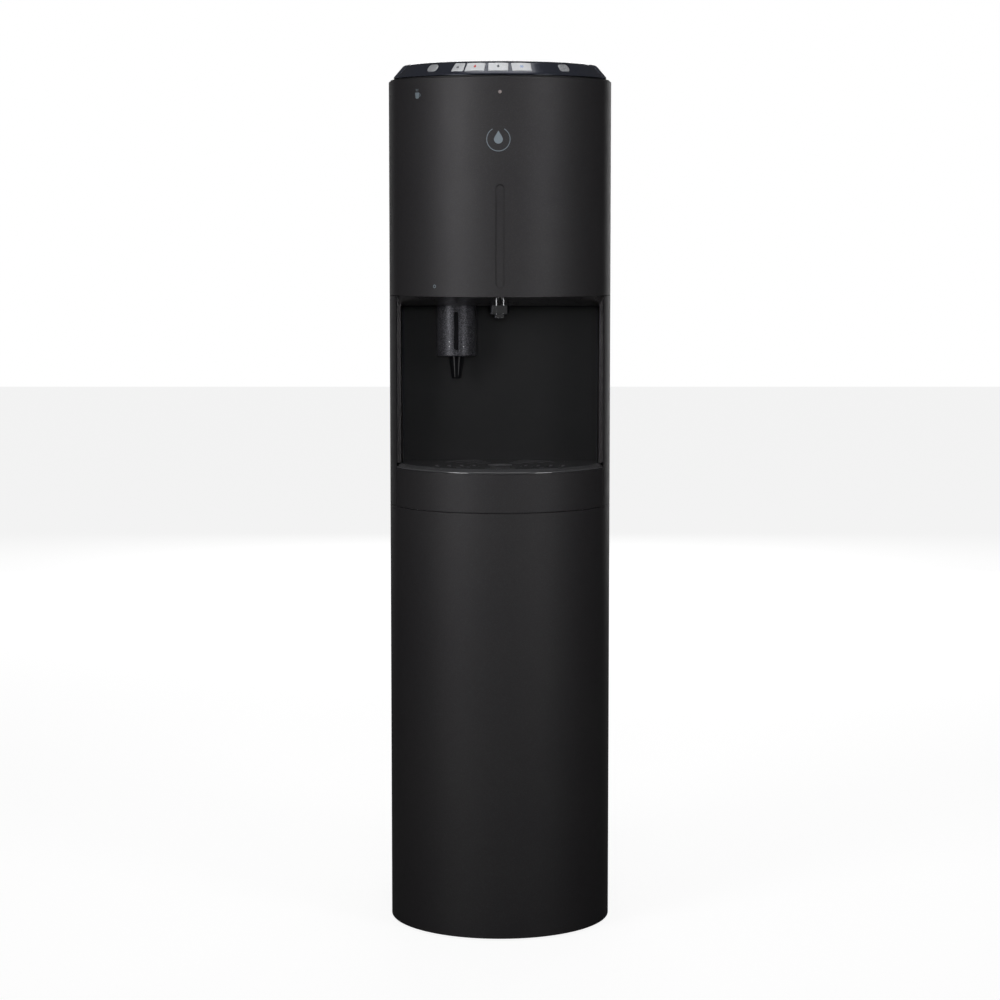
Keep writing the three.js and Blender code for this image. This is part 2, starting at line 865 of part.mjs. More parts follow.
// The grid's plate, its bevelled front, its ring slots and the dish under the tap.
function dripGrid() {
  const frontX = columnX - fit;
  const backX = nicheX - runFit;
  const gridCentreY = frontY + gridCentreDepth;
  const bevelled = frustum(bodyOutline, fit, gridBevel, trayFrontZ, deckZ);
  const plan = block(-frontX, frontX, -far, gridBreakY, -far, far).add(
    block(-backX, backX, gridBreakY - 1, trayBackY, -far, far),
  );
  let made = bevelled.intersect(plan);
  const under = block(-frontX, frontX, -far, far, trayFrontZ - 1, deckZ - linerWall);
  const hollow = bodyBlock(gridBevel + 3, trayFrontZ - 1, deckZ)
    .intersect(block(6 - backX, backX - 6, -far, trayBackY - 6, -far, far))
    .intersect(under);
  made = made.subtract(hollow);
  for (const r of slotArcs) {
    for (const middle of [-90, -20, -160, 50, 130]) {
      const half = middle === -90 ? 24 : 20;
      const from = THREE.MathUtils.degToRad(middle - half);
      const to = THREE.MathUtils.degToRad(middle + half);
      const outer = arcPoints(0, gridCentreY, r + slotArcWidth / 2, from, to, 5);
      const inner = arcPoints(0, gridCentreY, r - slotArcWidth / 2, to, from, 5);
      const slot = prism([...outer, ...inner], trayFrontZ - 1, deckZ + 1);
      const inside = bodyBlock(gridBevel + 6, trayFrontZ - 2, deckZ + 2).intersect(
        block(12 - backX, backX - 12, -far, trayBackY - 9, -far, far),
      );
      made = made.subtract(slot.intersect(inside));
    }
  }
  made = made.subtract(rod(cupRecessRadius, deckZ - cupRecessDepth, deckZ + 1, 0, gridCentreY));
  for (let i = 0; i < 6; i += 1) {
    const a = (i * Math.PI) / 3;
    const x = 0.6 * cupRecessRadius * Math.cos(a);
    const y = gridCentreY + 0.6 * cupRecessRadius * Math.sin(a);
    made = made.subtract(rod(drainRadius, trayFrontZ - 1, deckZ + 1, x, y, 8));
  }
  return made;
}
piece(tray, "drip_grid", dripGrid(), finish.gloss);

// ---------------------------------------------------------------- control head

const head = assembly();
const [mainLow, mainHigh] = [headProfile[1], headProfile[2]];
const slopeAngle = Math.atan2(mainHigh[1] - mainLow[1], mainHigh[0] - mainLow[0]);
const keyInset =
  mainLow[0] + ((keyRise - mainLow[1]) * (mainHigh[0] - mainLow[0])) / (mainHigh[1] - mainLow[1]);
const keyRadius = radius - keyInset;
const headRearBlock = block(-far, far, -far, headRearY, -far, far);

function fasciaRegion(margin) {
  const before = block(-far, far, -far, fasciaEndY + margin, -far, far);
  const core = rod(radius - fasciaBand - margin, headBaseZ - 9, bodyHeight + 9, 0, arcY, 48);
  return before.subtract(core);
}

// The frame of a key: X along the arc, Y up the slope and Z out of it.
function keyFrame(arc) {
  const a = arc / keyRadius;
  const outward = new THREE.Vector3(Math.sin(a), -Math.cos(a), 0);
  const up = new THREE.Vector3(0, 0, 1);
  const along = new THREE.Vector3(Math.cos(a), Math.sin(a), 0);
  const upSlope = outward.clone().multiplyScalar(-Math.cos(slopeAngle));
  upSlope.addScaledVector(up, Math.sin(slopeAngle));
  const normal = along.clone().cross(upSlope);
  const frame = new THREE.Matrix4().makeBasis(along, upSlope, normal);
  const centre = outward.clone().multiplyScalar(keyRadius);
  frame.setPosition(centre.x, centre.y + arcY, headBaseZ + keyRise);
  return frame;
}

// A key's outline with round corners, a slanted left edge and some play round it.
function keyOutline({ width, height, slant, corner }, play) {
  const [w, h] = [width / 2 + play, height / 2 + play];
  const r = corner + play;
  const quarter = Math.PI / 2;
  return [
    ...arcPoints(w - r, r - h, r, -quarter, 0, 3),
    ...arcPoints(w - r, h - r, r, 0, quarter, 3),
    ...arcPoints(r - w + slant, h - r, r, quarter, 2 * quarter, 3),
    ...arcPoints(r - w, r - h, r, 2 * quarter, 3 * quarter, 3),
  ];
}

// The head's slope as a full cone, raised by a distance along its normal.
function slopeCone(raise) {
  const out = raise / Math.sin(slopeAngle);
  const fall = 1 / Math.tan(slopeAngle);
  const at = (h) => keyRadius + out - (h - keyRise) * fall;
  const [low, high] = [-30, 40];
  const points = [
    [0, low],
    [at(low), low],
    [at(high), high],
    [0, high],
  ].map(([r, z]) => new THREE.Vector2(r, z));
  const cone = new THREE.LatheGeometry(points, 72).rotateX(Math.PI / 2);
  return cone.translate(0, arcY, headBaseZ);
}

const controls = [
  ...keys.map((key) => ({ ...key, height: keyHeight, corner: 1.4, look: finish.key })),
  ...buttons.map((button) => ({
    ...button,
    width: buttonWidth,
    height: buttonHeight,
    slant: 0,
    corner: 4.6,
    look: finish.button,
  })),
];

function controlFascia() {
  let made = headCap(0)
    .intersect(fasciaRegion(0))
    .subtract(headCap(headWall))
    .subtract(block(-far, far, -far, far, -far, headBaseZ + 0.1));
  for (const control of controls) {
    const hole = new THREE.ExtrudeGeometry(
      new THREE.Shape(keyOutline(control, fit)),
      { depth: 20, bevelEnabled: false },
    ).translate(0, 0, -12);
    made = made.subtract(solid(hole.applyMatrix4(keyFrame(control.arc))));
  }
  return made;
}
piece(head, "control_fascia", controlFascia(), finish.head);

function controlHead() {
  const rearWall = block(-far, far, -far, headRearY - headWall, -far, far);
  return headCap(0)
    .intersect(headRearBlock)
    .subtract(headCap(headWall).intersect(rearWall))
    .subtract(fasciaRegion(fit))
    .subtract(block(-far, far, -far, far, -far, headBaseZ + 0.1));
}
piece(head, "control_head", controlHead(), finish.head);

for (const control of controls) {
  const frame = keyFrame(control.arc);
  const stick = new THREE.ExtrudeGeometry(
    new THREE.Shape(keyOutline(control, 0)),
    { depth: keyDepth + 3, bevelEnabled: false },
  ).translate(0, 0, keyProud - keyDepth);
  const top = slopeCone(keyProud).applyMatrix4(frame.clone().invert());
  const mesh = piece(head, control.name, solid(stick).intersect(solid(top)), control.look);
  mesh.applyMatrix4(frame);
}

// A strip that follows the slope behind all the keys.
function slopeStrip(depth, sheet, arcFrom, arcTo, halfHeight) {
  const shell = solid(slopeCone(-depth)).subtract(solid(slopeCone(-depth - sheet)));
  const [from, to] = [arcFrom, arcTo].map((arc) => arc / keyRadius - Math.PI / 2);
  const rim = arcPoints(0, arcY, radius + 20, from, to, 4);
  const middleZ = headBaseZ + keyRise - depth * Math.cos(slopeAngle);
  const reach = halfHeight * Math.sin(slopeAngle);
  const sector = prism([new THREE.Vector2(0, arcY), ...rim], middleZ - reach, middleZ + reach);
  return shell.intersect(sector);
}

function keyMat() {
  let made = slopeStrip(matDepth, matSheet, -101, 96, 4.6);
  for (const { arc } of controls) {
    const dome = new THREE.CylinderGeometry(domeRadius, domeRadius, domeHeight + 0.6, 12)
      .rotateX(Math.PI / 2)
      .translate(0, 0, domeHeight / 2 - 0.3 - matDepth);
    made = made.add(solid(dome.applyMatrix4(keyFrame(arc))));
  }
  return made;
}
piece(head, "key_mat", keyMat(), finish.rubber);
piece(head, "control_board", slopeStrip(boardDepth, boardSheet, -101, 96, 4.2), finish.board);

// ---------------------------------------------------------------- water tank and lid

const tank = assembly();
const tankMiddleY = (tankFrontY + tankRearY) / 2;

function waterTank() {
  const wall = (inset) =>
    roundedRectangle(
      inset - tankX,
      tankX - inset,
      tankFrontY + inset,
      tankRearY - inset,
      tankCorner - inset,
    );
  let made = prism(wall(0), tankBottomZ, flangeZ + 1);
  made = made.add(prism(wall(-flangeWidth), flangeZ + 0.2, flangeZ + flangeSheet));
  made = made.add(rod(neckRadius, tankBottomZ - neckLength, tankBottomZ + 1, 0, tankMiddleY));
  for (const side of [-1, 1]) {
    for (const place of [-1, 1]) {
      const middle = side * hingeX + (place * (knuckleLength + earLength)) / 2 + place * runFit;
      const [x0, x1] = [middle - earLength / 2, middle + earLength / 2];
      made = made.add(block(x0, x1, tankRearY, hingeY, flangeZ + 0.2, flangeZ + flangeSheet));
      made = made.add(crossRod(knuckleRadius, x0, x1, hingeY, hingeZ));
    }
  }
  for (const side of [-1, 1]) {
    const reach = knuckleLength + 2 * earLength;
    const bore = [side * hingeX - reach, side * hingeX + reach];
    made = made.subtract(crossRod(pinBore, ...bore, hingeY, hingeZ, 12));
  }
  made = made.subtract(prism(wall(tankWall), tankBottomZ + tankWall, flangeZ + 9));
  const drain = neckRadius - neckWall;
  return made.subtract(rod(drain, tankBottomZ - neckLength - 1, tankBottomZ + 9, 0, tankMiddleY));
}
const hingeY = rearY - hingeInset;
const hingeZ = plateTopZ + hingeRise;
piece(tank, "water_tank", waterTank(), finish.clear);

function tankLid() {
  const clearX = tankX + flangeWidth + runFit;
  const clearFront = tankFrontY - flangeWidth - runFit;
  const clearRear = tankRearY + flangeWidth + runFit;
  const rimTop = flangeZ + flangeSheet + fit;
  const behindHead = block(-far, far, headRearY + runFit, far, headBaseZ + 0.3, far);
  let made = headCap(0).intersect(behindHead);
  made = made.subtract(block(-clearX, clearX, clearFront, clearRear, 0, rimTop));
  const room = block(10 - tankX, tankX - 10, tankFrontY + 8, tankRearY - 8, 0, far);
  made = made.subtract(room.intersect(block(-far, far, -far, far, 0, bodyHeight - lidSheet)));
  for (const side of [-1, 1]) {
    for (const place of [-1, 1]) {
      const middle = side * hingeX + (place * (knuckleLength + earLength)) / 2 + place * runFit;
      const half = earLength / 2 + runFit;
      const slot = [middle - half, middle + half];
      const top = hingeZ + knuckleRadius + runFit;
      made = made.subtract(block(...slot, clearRear - 3, far, 0, top));
    }
    const [x0, x1] = [side * hingeX - knuckleLength / 2, side * hingeX + knuckleLength / 2];
    made = made.add(crossRod(knuckleRadius, x0, x1, hingeY, hingeZ));
    const reach = knuckleLength + 2 * earLength;
    const bore = [side * hingeX - reach, side * hingeX + reach];
    made = made.subtract(crossRod(pinBore, ...bore, hingeY, hingeZ, 12));
  }
  return made;
}
piece(tank, "tank_lid", tankLid(), finish.head);

for (const [name, side] of [
  ["lid_pin_left", -1],
  ["lid_pin_right", 1],
]) {
  const half = knuckleLength / 2 + runFit + earLength;
  const [x0, x1] = [side * hingeX - half, side * hingeX + half];
  piece(tank, name, crossRod(pinRadius, x0, x1, hingeY, hingeZ, 12), finish.steel);
}

piece(
  tank,
  "tank_filter",
  turned([
    [0, tankBottomZ + tankWall + fit],
    [filterRadius, tankBottomZ + tankWall + fit],
    [filterRadius, tankBottomZ + filterHeight - 10],
    [filterRadius - 8, tankBottomZ + filterHeight],
    [0, tankBottomZ + filterHeight],
  ], -filterOffset, tankMiddleY, 28),
  finish.white,
);
piece(
  tank,
  "tank_valve",
  turned([
    [0, tankBottomZ - neckLength + 1],
    [3, tankBottomZ - neckLength + 1],
    [3, tankBottomZ + 3],
    [neckRadius + 1, tankBottomZ + tankWall + fit],
    [neckRadius + 1, tankBottomZ + tankWall + 3],
    [0, tankBottomZ + tankWall + 6],
  ], 0, tankMiddleY, 24),
  finish.rubber,
);

// ---------------------------------------------------------------- frame inside the body

const chassis = assembly();
const uprightX = radius - skin - 6;
const uprightRearY = rearY - rearCorner - 8;

function upright(side) {
  const angle = [
    [uprightX, uprightRearY - uprightDepth],
    [uprightX, uprightRearY],
    [uprightX - 14, uprightRearY],
    [uprightX - 14, uprightRearY - uprightSheet],
    [uprightX - uprightSheet, uprightRearY - uprightSheet],
    [uprightX - uprightSheet, uprightRearY - uprightDepth],
  ].map(([x, y]) => new THREE.Vector2(side * x, y));
  return prism(angle, floorZ + fit, topPlateZ - fit);
}
piece(chassis, "left_upright", upright(-1), finish.steel);
piece(chassis, "right_upright", upright(1), finish.steel);

const jacketFrontY = nicheBackY + linerWall + jacketPlay;
const jacketRearY = rearInnerY - jacketPlay - condenserPlay;
const jacketZ = linerFloorZ + shelfSheet + fit;
const jacketTopZ = ceilingZ - fit;
const jacketMiddleY = (jacketFrontY + jacketRearY) / 2;
const jacketBore = (jacketRearY - jacketFrontY) / 2 - jacketWall;
const coldRadius = jacketBore - coilRoom;
const shelfX = jacketWidth / 2 + 10;

piece(
  chassis,
  "cold_shelf",
  block(-shelfX, shelfX, jacketFrontY - 4, jacketRearY + 4, linerFloorZ, linerFloorZ + shelfSheet),
  finish.steel,
);

function tankShelf() {
  const x = uprightX - 16;
  const plate = block(-x, x, tankFrontY - 8, rearInnerY - 8, tankShelfZ, tankShelfZ + shelfSheet);
  const outer = neckRadius + runFit + neckWall;
  const seat = rod(outer, tankShelfZ - 8, tankBottomZ - fit, 0, tankMiddleY);
  return plate
    .add(seat)
    .subtract(
      rod(neckRadius + runFit, tankBottomZ - neckLength - fit, tankBottomZ + 1, 0, tankMiddleY),
    )
    .subtract(rod(hoseRadius + fit, tankShelfZ - 9, tankBottomZ, 0, tankMiddleY));
}
piece(chassis, "tank_shelf", tankShelf(), finish.steel);

// ---------------------------------------------------------------- cooling and heating

const works = assembly();
const coldBottomZ = jacketZ + jacketWall;

function coldJacket() {
  const w = jacketWidth / 2;
  const outer = roundedRectangle(-w, w, jacketFrontY, jacketRearY, 20);
  return prism(outer, jacketZ, jacketTopZ).subtract(
    rod(jacketBore, coldBottomZ, jacketTopZ + 1, 0, jacketMiddleY, 28),
  );
}
piece(works, "cold_tank_jacket", coldJacket(), finish.foam);

function coldTank() {
  const top = coldBottomZ + fit + coldTankHeight;
  return turned([
    [0, coldBottomZ + fit],
    [coldRadius, coldBottomZ + fit],
    [coldRadius, top],
    [9, top + 4],
    [9, top + 12],
    [6, top + 12],
    [6, top + 1],
    [coldRadius - 1.5, top - 2],
    [coldRadius - 1.5, coldBottomZ + 2],
    [0, coldBottomZ + 2],
  ], 0, jacketMiddleY, 28);
}
piece(works, "cold_tank", coldTank(), finish.steel);

// The evaporator is a coil wound on the cold tank.
function evaporator() {
  const turns = Math.floor((coldTankHeight - 30) / coilPitch);
  const turnSteps = 16;
  const r = coldRadius + coilRoom / 2 + 0.3;
  const steps = turnSteps * turns;
  const points = [];
  for (let i = 0; i <= steps; i += 1) {
    const a = (2 * Math.PI * i) / turnSteps;
    const z = coldBottomZ + 15 + (coilPitch * i) / turnSteps;
    points.push([r * Math.cos(a), jacketMiddleY + r * Math.sin(a), z]);
  }
  return tube(points, coilRadius, steps, 6, 0.5);
}
piece(works, "evaporator_coil", evaporator(), finish.copper);

piece(
  works,
  "hot_tank",
  turned([
    [0, hotTankZ],
    [hotTankRadius - 14, hotTankZ],
    [hotTankRadius, hotTankZ + 14],
    [hotTankRadius, hotTankZ + hotTankHeight - 14],
    [hotTankRadius - 14, hotTankZ + hotTankHeight],
    [7, hotTankZ + hotTankHeight],
    [7, hotTankZ + hotTankHeight + 8],
    [0, hotTankZ + hotTankHeight + 8],
  ]),
  finish.steel,
);

const compressorY = rearInnerY - compressorRear;
piece(
  works,
  "compressor",
  turned([
    [0, floorZ + fit],
    [compressorRadius, floorZ + fit],
    [compressorRadius, floorZ + 5],
    [compressorRadius - 8, floorZ + 9],
    [compressorRadius - 4, floorZ + 80],
    [compressorRadius - 1, floorZ + 84],
    [compressorRadius - 4, floorZ + 88],
    [compressorRadius - 8, floorZ + compressorHeight - 34],
    [compressorRadius - 26, floorZ + compressorHeight - 8],
    [0, floorZ + compressorHeight],
  ], 0, compressorY, 28),
  finish.black,
);

// The condenser is a flat serpentine behind the rear panel.
function condenser() {
  const y = rearInnerY - condenserPlay;
  const top = linerFloorZ - 30;
  const runs = Math.floor((top - condenserFoot) / condenserPitch);
  const half = condenserWidth / 2 - condenserPitch / 2;
  const bend = condenserPitch / 2;
  const knots = [];
  for (let i = 0; i < runs; i += 1) {
    const z = condenserFoot + i * condenserPitch;
    const side = i % 2 ? -1 : 1;
    knots.push(new THREE.Vector3(-side * half, y, z), new THREE.Vector3(side * half, y, z));
    if (i === runs - 1) break;
    const arc = arcPoints(0, z + bend, bend, -Math.PI / 2, Math.PI / 2, condenserBendSteps);
    for (const p of arc.slice(1, -1)) {
      knots.push(new THREE.Vector3(side * (half + p.x), y, p.y));
    }
  }
  const section = new THREE.Shape(arcPoints(0, 0, condenserTube, 0, 2 * Math.PI, 6).slice(1));
  const extrudePath = new KnotRoute(knots);
  const steps = knots.length - 1;
  return solid(new THREE.ExtrudeGeometry(section, { extrudePath, steps, bevelEnabled: false }));
}

piece(works, "condenser_coil", condenser(), finish.black);

const pumpY = frontY + pumpBehind;

function pump() {
  const half = pumpSize / 2;
  const bodyPart = block(-half, half, pumpY - half, pumpY + half, floorZ + 8, floorZ + 54);
  const foot = block(-half - 6, half + 6, pumpY - 12, pumpY + 12, floorZ + fit, floorZ + 9);
  const nose = rod(9, floorZ + 53, floorZ + pumpLength, 0, pumpY, 20);
  return bodyPart.add(foot).add(nose);
}
piece(works, "pump", pump(), finish.black);

const boardX = radius - skin - 12;
piece(
  works,
  "power_board",
  block(boardX - 2, boardX, -20, 70, hotTankZ, hotTankZ + 110),
  finish.board,
);

// ---------------------------------------------------------------- valves and hoses

const valveX = 27;
const valveTopZ = valveZ + valveHeight;
const valveEdge = [valveX - valveWidth / 2, valveX + valveWidth / 2];

function valveBlock() {
  const [x0, x1] = valveEdge;
  const [y0, y1] = [tapY - valveDepth / 2, tapY + valveDepth / 2];
  return block(x0, x1, y0, y1, valveZ, valveTopZ).subtract(
    rod(spoutBore, valveZ - 1, valveZ + 12, 0, tapY, 20),
  );
}
piece(works, "valve_block", valveBlock(), finish.white);

const solenoidShape = turned([
  [0, valveTopZ + fit],
  [solenoidRadius, valveTopZ + fit],
  [solenoidRadius, valveTopZ + solenoidHeight - 6],
  [solenoidRadius - 5, valveTopZ + solenoidHeight - 6],
  [solenoidRadius - 5, valveTopZ + solenoidHeight],
  [0, valveTopZ + solenoidHeight],
], 0, 0, 20);
for (const [name, x] of [
  ["solenoid_hot", valveX - 27],
  ["solenoid_room", valveX],
  ["solenoid_cold", valveX + 27],
]) {
  piece(works, name, solenoidShape, finish.black).position.set(x, tapY, 0);
}

const coldTopZ = coldBottomZ + coldTankHeight + 13;
const valveMiddleZ = valveZ + valveHeight / 2;
const valveBackY = tapY + valveDepth / 2;
piece(
  works,
  "cold_hose",
  tube([
    [0, jacketMiddleY, coldTopZ + 1],
    [0, jacketMiddleY, ceilingZ + 20],
    [valveX, jacketMiddleY - 40, valveMiddleZ],
    [valveX, valveBackY + fit, valveMiddleZ],
  ], hoseRadius, 16),
  finish.white,
);

const hoseX = radius - skin - hoseRun;
piece(
  works,
  "hot_hose",
  tube([
    [0, 0, hotTankZ + hotTankHeight + 9],
    [0, 0, hotTankZ + hotTankHeight + 24],
    [hoseX - 20, 0, hotTankZ + hotTankHeight + 60],
    [hoseX, 10, hotTankZ + hotTankHeight + 110],
    [hoseX, 10, ceilingZ + 20],
    [hoseX - 12, tapY + 30, valveMiddleZ],
    [valveEdge[1] + 22, tapY, valveMiddleZ],
    [valveEdge[1] + fit, tapY, valveMiddleZ],
  ], hoseRadius, 36),
  finish.white,
);

export default group;
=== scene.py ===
"""Looks of a floor-standing water and capsule dispenser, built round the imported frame.

Meshes are worked in millimetres on the frame's axes and scaled to metres when a piece is made.
"""

import logging
import math
from dataclasses import dataclass
from enum import Enum
from typing import Sequence

import bmesh
import bpy
from mathutils import Matrix, Vector


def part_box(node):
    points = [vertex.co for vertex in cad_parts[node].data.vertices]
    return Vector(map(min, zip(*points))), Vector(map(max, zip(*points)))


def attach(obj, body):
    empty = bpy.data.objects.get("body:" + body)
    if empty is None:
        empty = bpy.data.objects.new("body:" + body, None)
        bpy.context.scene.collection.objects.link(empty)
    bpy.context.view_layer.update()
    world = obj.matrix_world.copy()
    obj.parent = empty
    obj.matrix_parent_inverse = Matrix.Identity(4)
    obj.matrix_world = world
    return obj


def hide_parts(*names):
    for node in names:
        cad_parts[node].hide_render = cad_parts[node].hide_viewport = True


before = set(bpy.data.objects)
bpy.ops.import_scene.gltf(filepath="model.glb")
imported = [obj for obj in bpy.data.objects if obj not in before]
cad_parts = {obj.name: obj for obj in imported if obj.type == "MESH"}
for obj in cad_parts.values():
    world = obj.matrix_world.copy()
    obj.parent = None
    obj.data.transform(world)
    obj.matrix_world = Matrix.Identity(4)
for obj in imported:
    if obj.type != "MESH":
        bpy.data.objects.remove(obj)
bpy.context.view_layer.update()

log = logging.getLogger("dispenser")
Pair = tuple[float, float]
Colour = tuple[float, float, float]
MM = 0.001
REACH = 400.0  # half size of a cutting block
MERGE = 1e-4  # points nearer than this are one
ON_PLANE = 1e-5  # a point this near a cut lies on it
ROUND_STEPS = 5  # segments of a spun outline's rounded corner
INK = 0.03  # thickness of a printed mark
NOISE_BAND = (0.35, 0.65)  # the part of a noise that is spread from 0 to 1
WIDE_SHARE = 0.05  # scale of the wide unevenness to that of the fine grain
FLAKE_CONTRAST = 4.0
MIX_FACTOR, MIX_A, MIX_B, MIX_RESULT = 0, 6, 7, 2  # sockets of a colour Mix node


class Carve(Enum):
    """What a cutting blank does to another."""

    CUT = "DIFFERENCE"
    KEEP = "INTERSECT"


class Seen(Enum):
    """Which part of a lamp's light counts."""

    ALL = "all"
    DIFFUSE = "diffuse"
    GLOSSY = "glossy"


class Body(Enum):
    """The frame's moving bodies that pieces ride on."""

    CABINET = "cabinet"
    LOCK = "key_lock"
    HOT = "key_hot"
    ROOM = "key_room"
    COLD = "key_cold"
    LEFT = "button_left"
    RIGHT = "button_right"
    HOLDER = "holder"
    TRAY = "tray"
    GRID = "grid"
    TANK = "tank"
    LID = "lid"


def span(node: str) -> tuple[Vector, Vector]:
    """Finds where a CAD node is.

    Args:
        node: Name of the node.

    Returns:
        Its lowest and highest corner, in millimetres.
    """
    low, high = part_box(node)
    return low / MM, high / MM


# ---------------------------------------------------------------- shared effects


def new_group(name: str, inputs: Sequence[tuple[str, str, object]],
              outputs: Sequence[tuple[str, str]]) -> bpy.types.NodeTree:
    """Starts a shader node group.

    Args:
        name: Name of the group.
        inputs: Name, socket type and default of each input.
        outputs: Name and socket type of each output.

    Returns:
        The group's node tree, with its input and output nodes in place.
    """
    tree = bpy.data.node_groups.new(name, "ShaderNodeTree")
    for label, kind, value in inputs:
        socket = tree.interface.new_socket(label, in_out="INPUT", socket_type=kind)
        socket.default_value = value
    for label, kind in outputs:
        tree.interface.new_socket(label, in_out="OUTPUT", socket_type=kind)
    tree.nodes.new("NodeGroupInput").name = "in"
    tree.nodes.new("NodeGroupOutput").name = "out"
    return tree


def object_noise(tree: bpy.types.NodeTree, scale: bpy.types.NodeSocket, detail: float,
                 stretch: Colour = (1.0, 1.0, 1.0)) -> bpy.types.NodeSocket:
    """Adds a noise on the piece's own coordinates.

    Args:
        tree: Node tree to add to.
        scale: Socket that gives the noise its scale.
        detail: Octaves of the noise.
        stretch: Scale along each axis.

    Returns:
        The noise's factor socket.
    """
    place = tree.nodes.new("ShaderNodeTexCoord")
    mapping = tree.nodes.new("ShaderNodeMapping")
    mapping.inputs["Scale"].default_value = stretch
    noise = tree.nodes.new("ShaderNodeTexNoise")
    noise.inputs["Detail"].default_value = detail
    tree.links.new(place.outputs["Object"], mapping.inputs["Vector"])
    tree.links.new(mapping.outputs["Vector"], noise.inputs["Vector"])
    tree.links.new(scale, noise.inputs["Scale"])
    return noise.outputs["Fac"]


def build_mottle() -> bpy.types.NodeTree:
    """Builds the group that drifts a colour between two tones.

    Returns:
        The group's node tree.
    """
    tree = new_group("ToneDrift", [
        ("Tint", "NodeSocketColor", (0.5, 0.5, 0.5, 1.0)),
        ("Shade", "NodeSocketColor", (0.4, 0.4, 0.4, 1.0)),
        ("Scale", "NodeSocketFloat", 20.0),
    ], [("Color", "NodeSocketColor")])
    given, out = tree.nodes["in"], tree.nodes["out"]
    fac = object_noise(tree, given.outputs["Scale"], 3.0)
    spread = tree.nodes.new("ShaderNodeMapRange")
    spread.inputs["From Min"].default_value = NOISE_BAND[0]
    spread.inputs["From Max"].default_value = NOISE_BAND[1]
    mix = tree.nodes.new("ShaderNodeMix")
    mix.data_type = "RGBA"
    tree.links.new(fac, spread.inputs["Value"])
    tree.links.new(spread.outputs["Result"], mix.inputs[MIX_FACTOR])
    tree.links.new(given.outputs["Tint"], mix.inputs[MIX_A])
    tree.links.new(given.outputs["Shade"], mix.inputs[MIX_B])
    tree.links.new(mix.outputs[MIX_RESULT], out.inputs["Color"])
    return tree


def build_grain(name: str, stretch: Colour) -> bpy.types.NodeTree:
    """Builds a group of fine relief and uneven gloss.

    Args:
        name: Name of the group.
        stretch: Scale of the grain along each axis.

    Returns:
        The group's node tree.
    """
    tree = new_group(name, [
        ("Scale", "NodeSocketFloat", 900.0),
        ("Low", "NodeSocketFloat", 0.3),
        ("High", "NodeSocketFloat", 0.5),
    ], [("Roughness", "NodeSocketFloat"), ("Height", "NodeSocketFloat")])
    given, out = tree.nodes["in"], tree.nodes["out"]
    fine = object_noise(tree, given.outputs["Scale"], 2.0, stretch)
    wide_scale = tree.nodes.new("ShaderNodeMath")
    wide_scale.operation = "MULTIPLY"
    wide_scale.inputs[1].default_value = WIDE_SHARE
    tree.links.new(given.outputs["Scale"], wide_scale.inputs[0])
    wide = object_noise(tree, wide_scale.outputs[0], 3.0, stretch)
    both = tree.nodes.new("ShaderNodeMath")
    both.operation = "MULTIPLY_ADD"
    both.inputs[1].default_value = 0.5
    half = tree.nodes.new("ShaderNodeMath")
    half.operation = "MULTIPLY"
    half.inputs[1].default_value = 0.5
    tree.links.new(wide, half.inputs[0])
    tree.links.new(fine, both.inputs[0])
    tree.links.new(half.outputs[0], both.inputs[2])
    spread = tree.nodes.new("ShaderNodeMapRange")
    spread.inputs["From Min"].default_value = NOISE_BAND[0]
    spread.inputs["From Max"].default_value = NOISE_BAND[1]
    tree.links.new(both.outputs[0], spread.inputs["Value"])
    tree.links.new(given.outputs["Low"], spread.inputs["To Min"])
    tree.links.new(given.outputs["High"], spread.inputs["To Max"])
    tree.links.new(spread.outputs["Result"], out.inputs["Roughness"])
    tree.links.new(fine, out.inputs["Height"])
    return tree


def build_flake() -> bpy.types.NodeTree:
    """Builds the group of metal flakes in a paint or a pearl plastic.

    Returns:
        The group's node tree.
    """
    tree = new_group("Flake", [
        ("Base", "NodeSocketColor", (0.1, 0.1, 0.1, 1.0)),
        ("Spark", "NodeSocketColor", (0.4, 0.4, 0.4, 1.0)),
        ("Scale", "NodeSocketFloat", 1500.0),
        ("Amount", "NodeSocketFloat", 0.3),
    ], [("Color", "NodeSocketColor")])
    given, out = tree.nodes["in"], tree.nodes["out"]
    place = tree.nodes.new("ShaderNodeTexCoord")
    cells = tree.nodes.new("ShaderNodeTexVoronoi")
    tree.links.new(place.outputs["Object"], cells.inputs["Vector"])
    tree.links.new(given.outputs["Scale"], cells.inputs["Scale"])
    split = tree.nodes.new("ShaderNodeSeparateColor")
    tree.links.new(cells.outputs["Color"], split.inputs["Color"])
    bright = tree.nodes.new("ShaderNodeMath")
    bright.operation = "POWER"
    bright.inputs[1].default_value = FLAKE_CONTRAST
    tree.links.new(split.outputs["Red"], bright.inputs[0])
    share = tree.nodes.new("ShaderNodeMath")
    share.operation = "MULTIPLY"
    tree.links.new(bright.outputs[0], share.inputs[0])
    tree.links.new(given.outputs["Amount"], share.inputs[1])
    mix = tree.nodes.new("ShaderNodeMix")
    mix.data_type = "RGBA"
    tree.links.new(share.outputs[0], mix.inputs[MIX_FACTOR])
    tree.links.new(given.outputs["Base"], mix.inputs[MIX_A])
    tree.links.new(given.outputs["Spark"], mix.inputs[MIX_B])
    tree.links.new(mix.outputs[MIX_RESULT], out.inputs["Color"])
    return tree


class Effects:
    """The shared node groups, each built once."""

    def __init__(self) -> None:
        """Builds every group."""
        self.mottle = build_mottle()
        self.grain = build_grain("Grain", (1.0, 1.0, 1.0))
        self.brushed = build_grain("Brushed", (1.0, 1.0, 0.03))
        self.flake = build_flake()


# ---------------------------------------------------------------- finishes


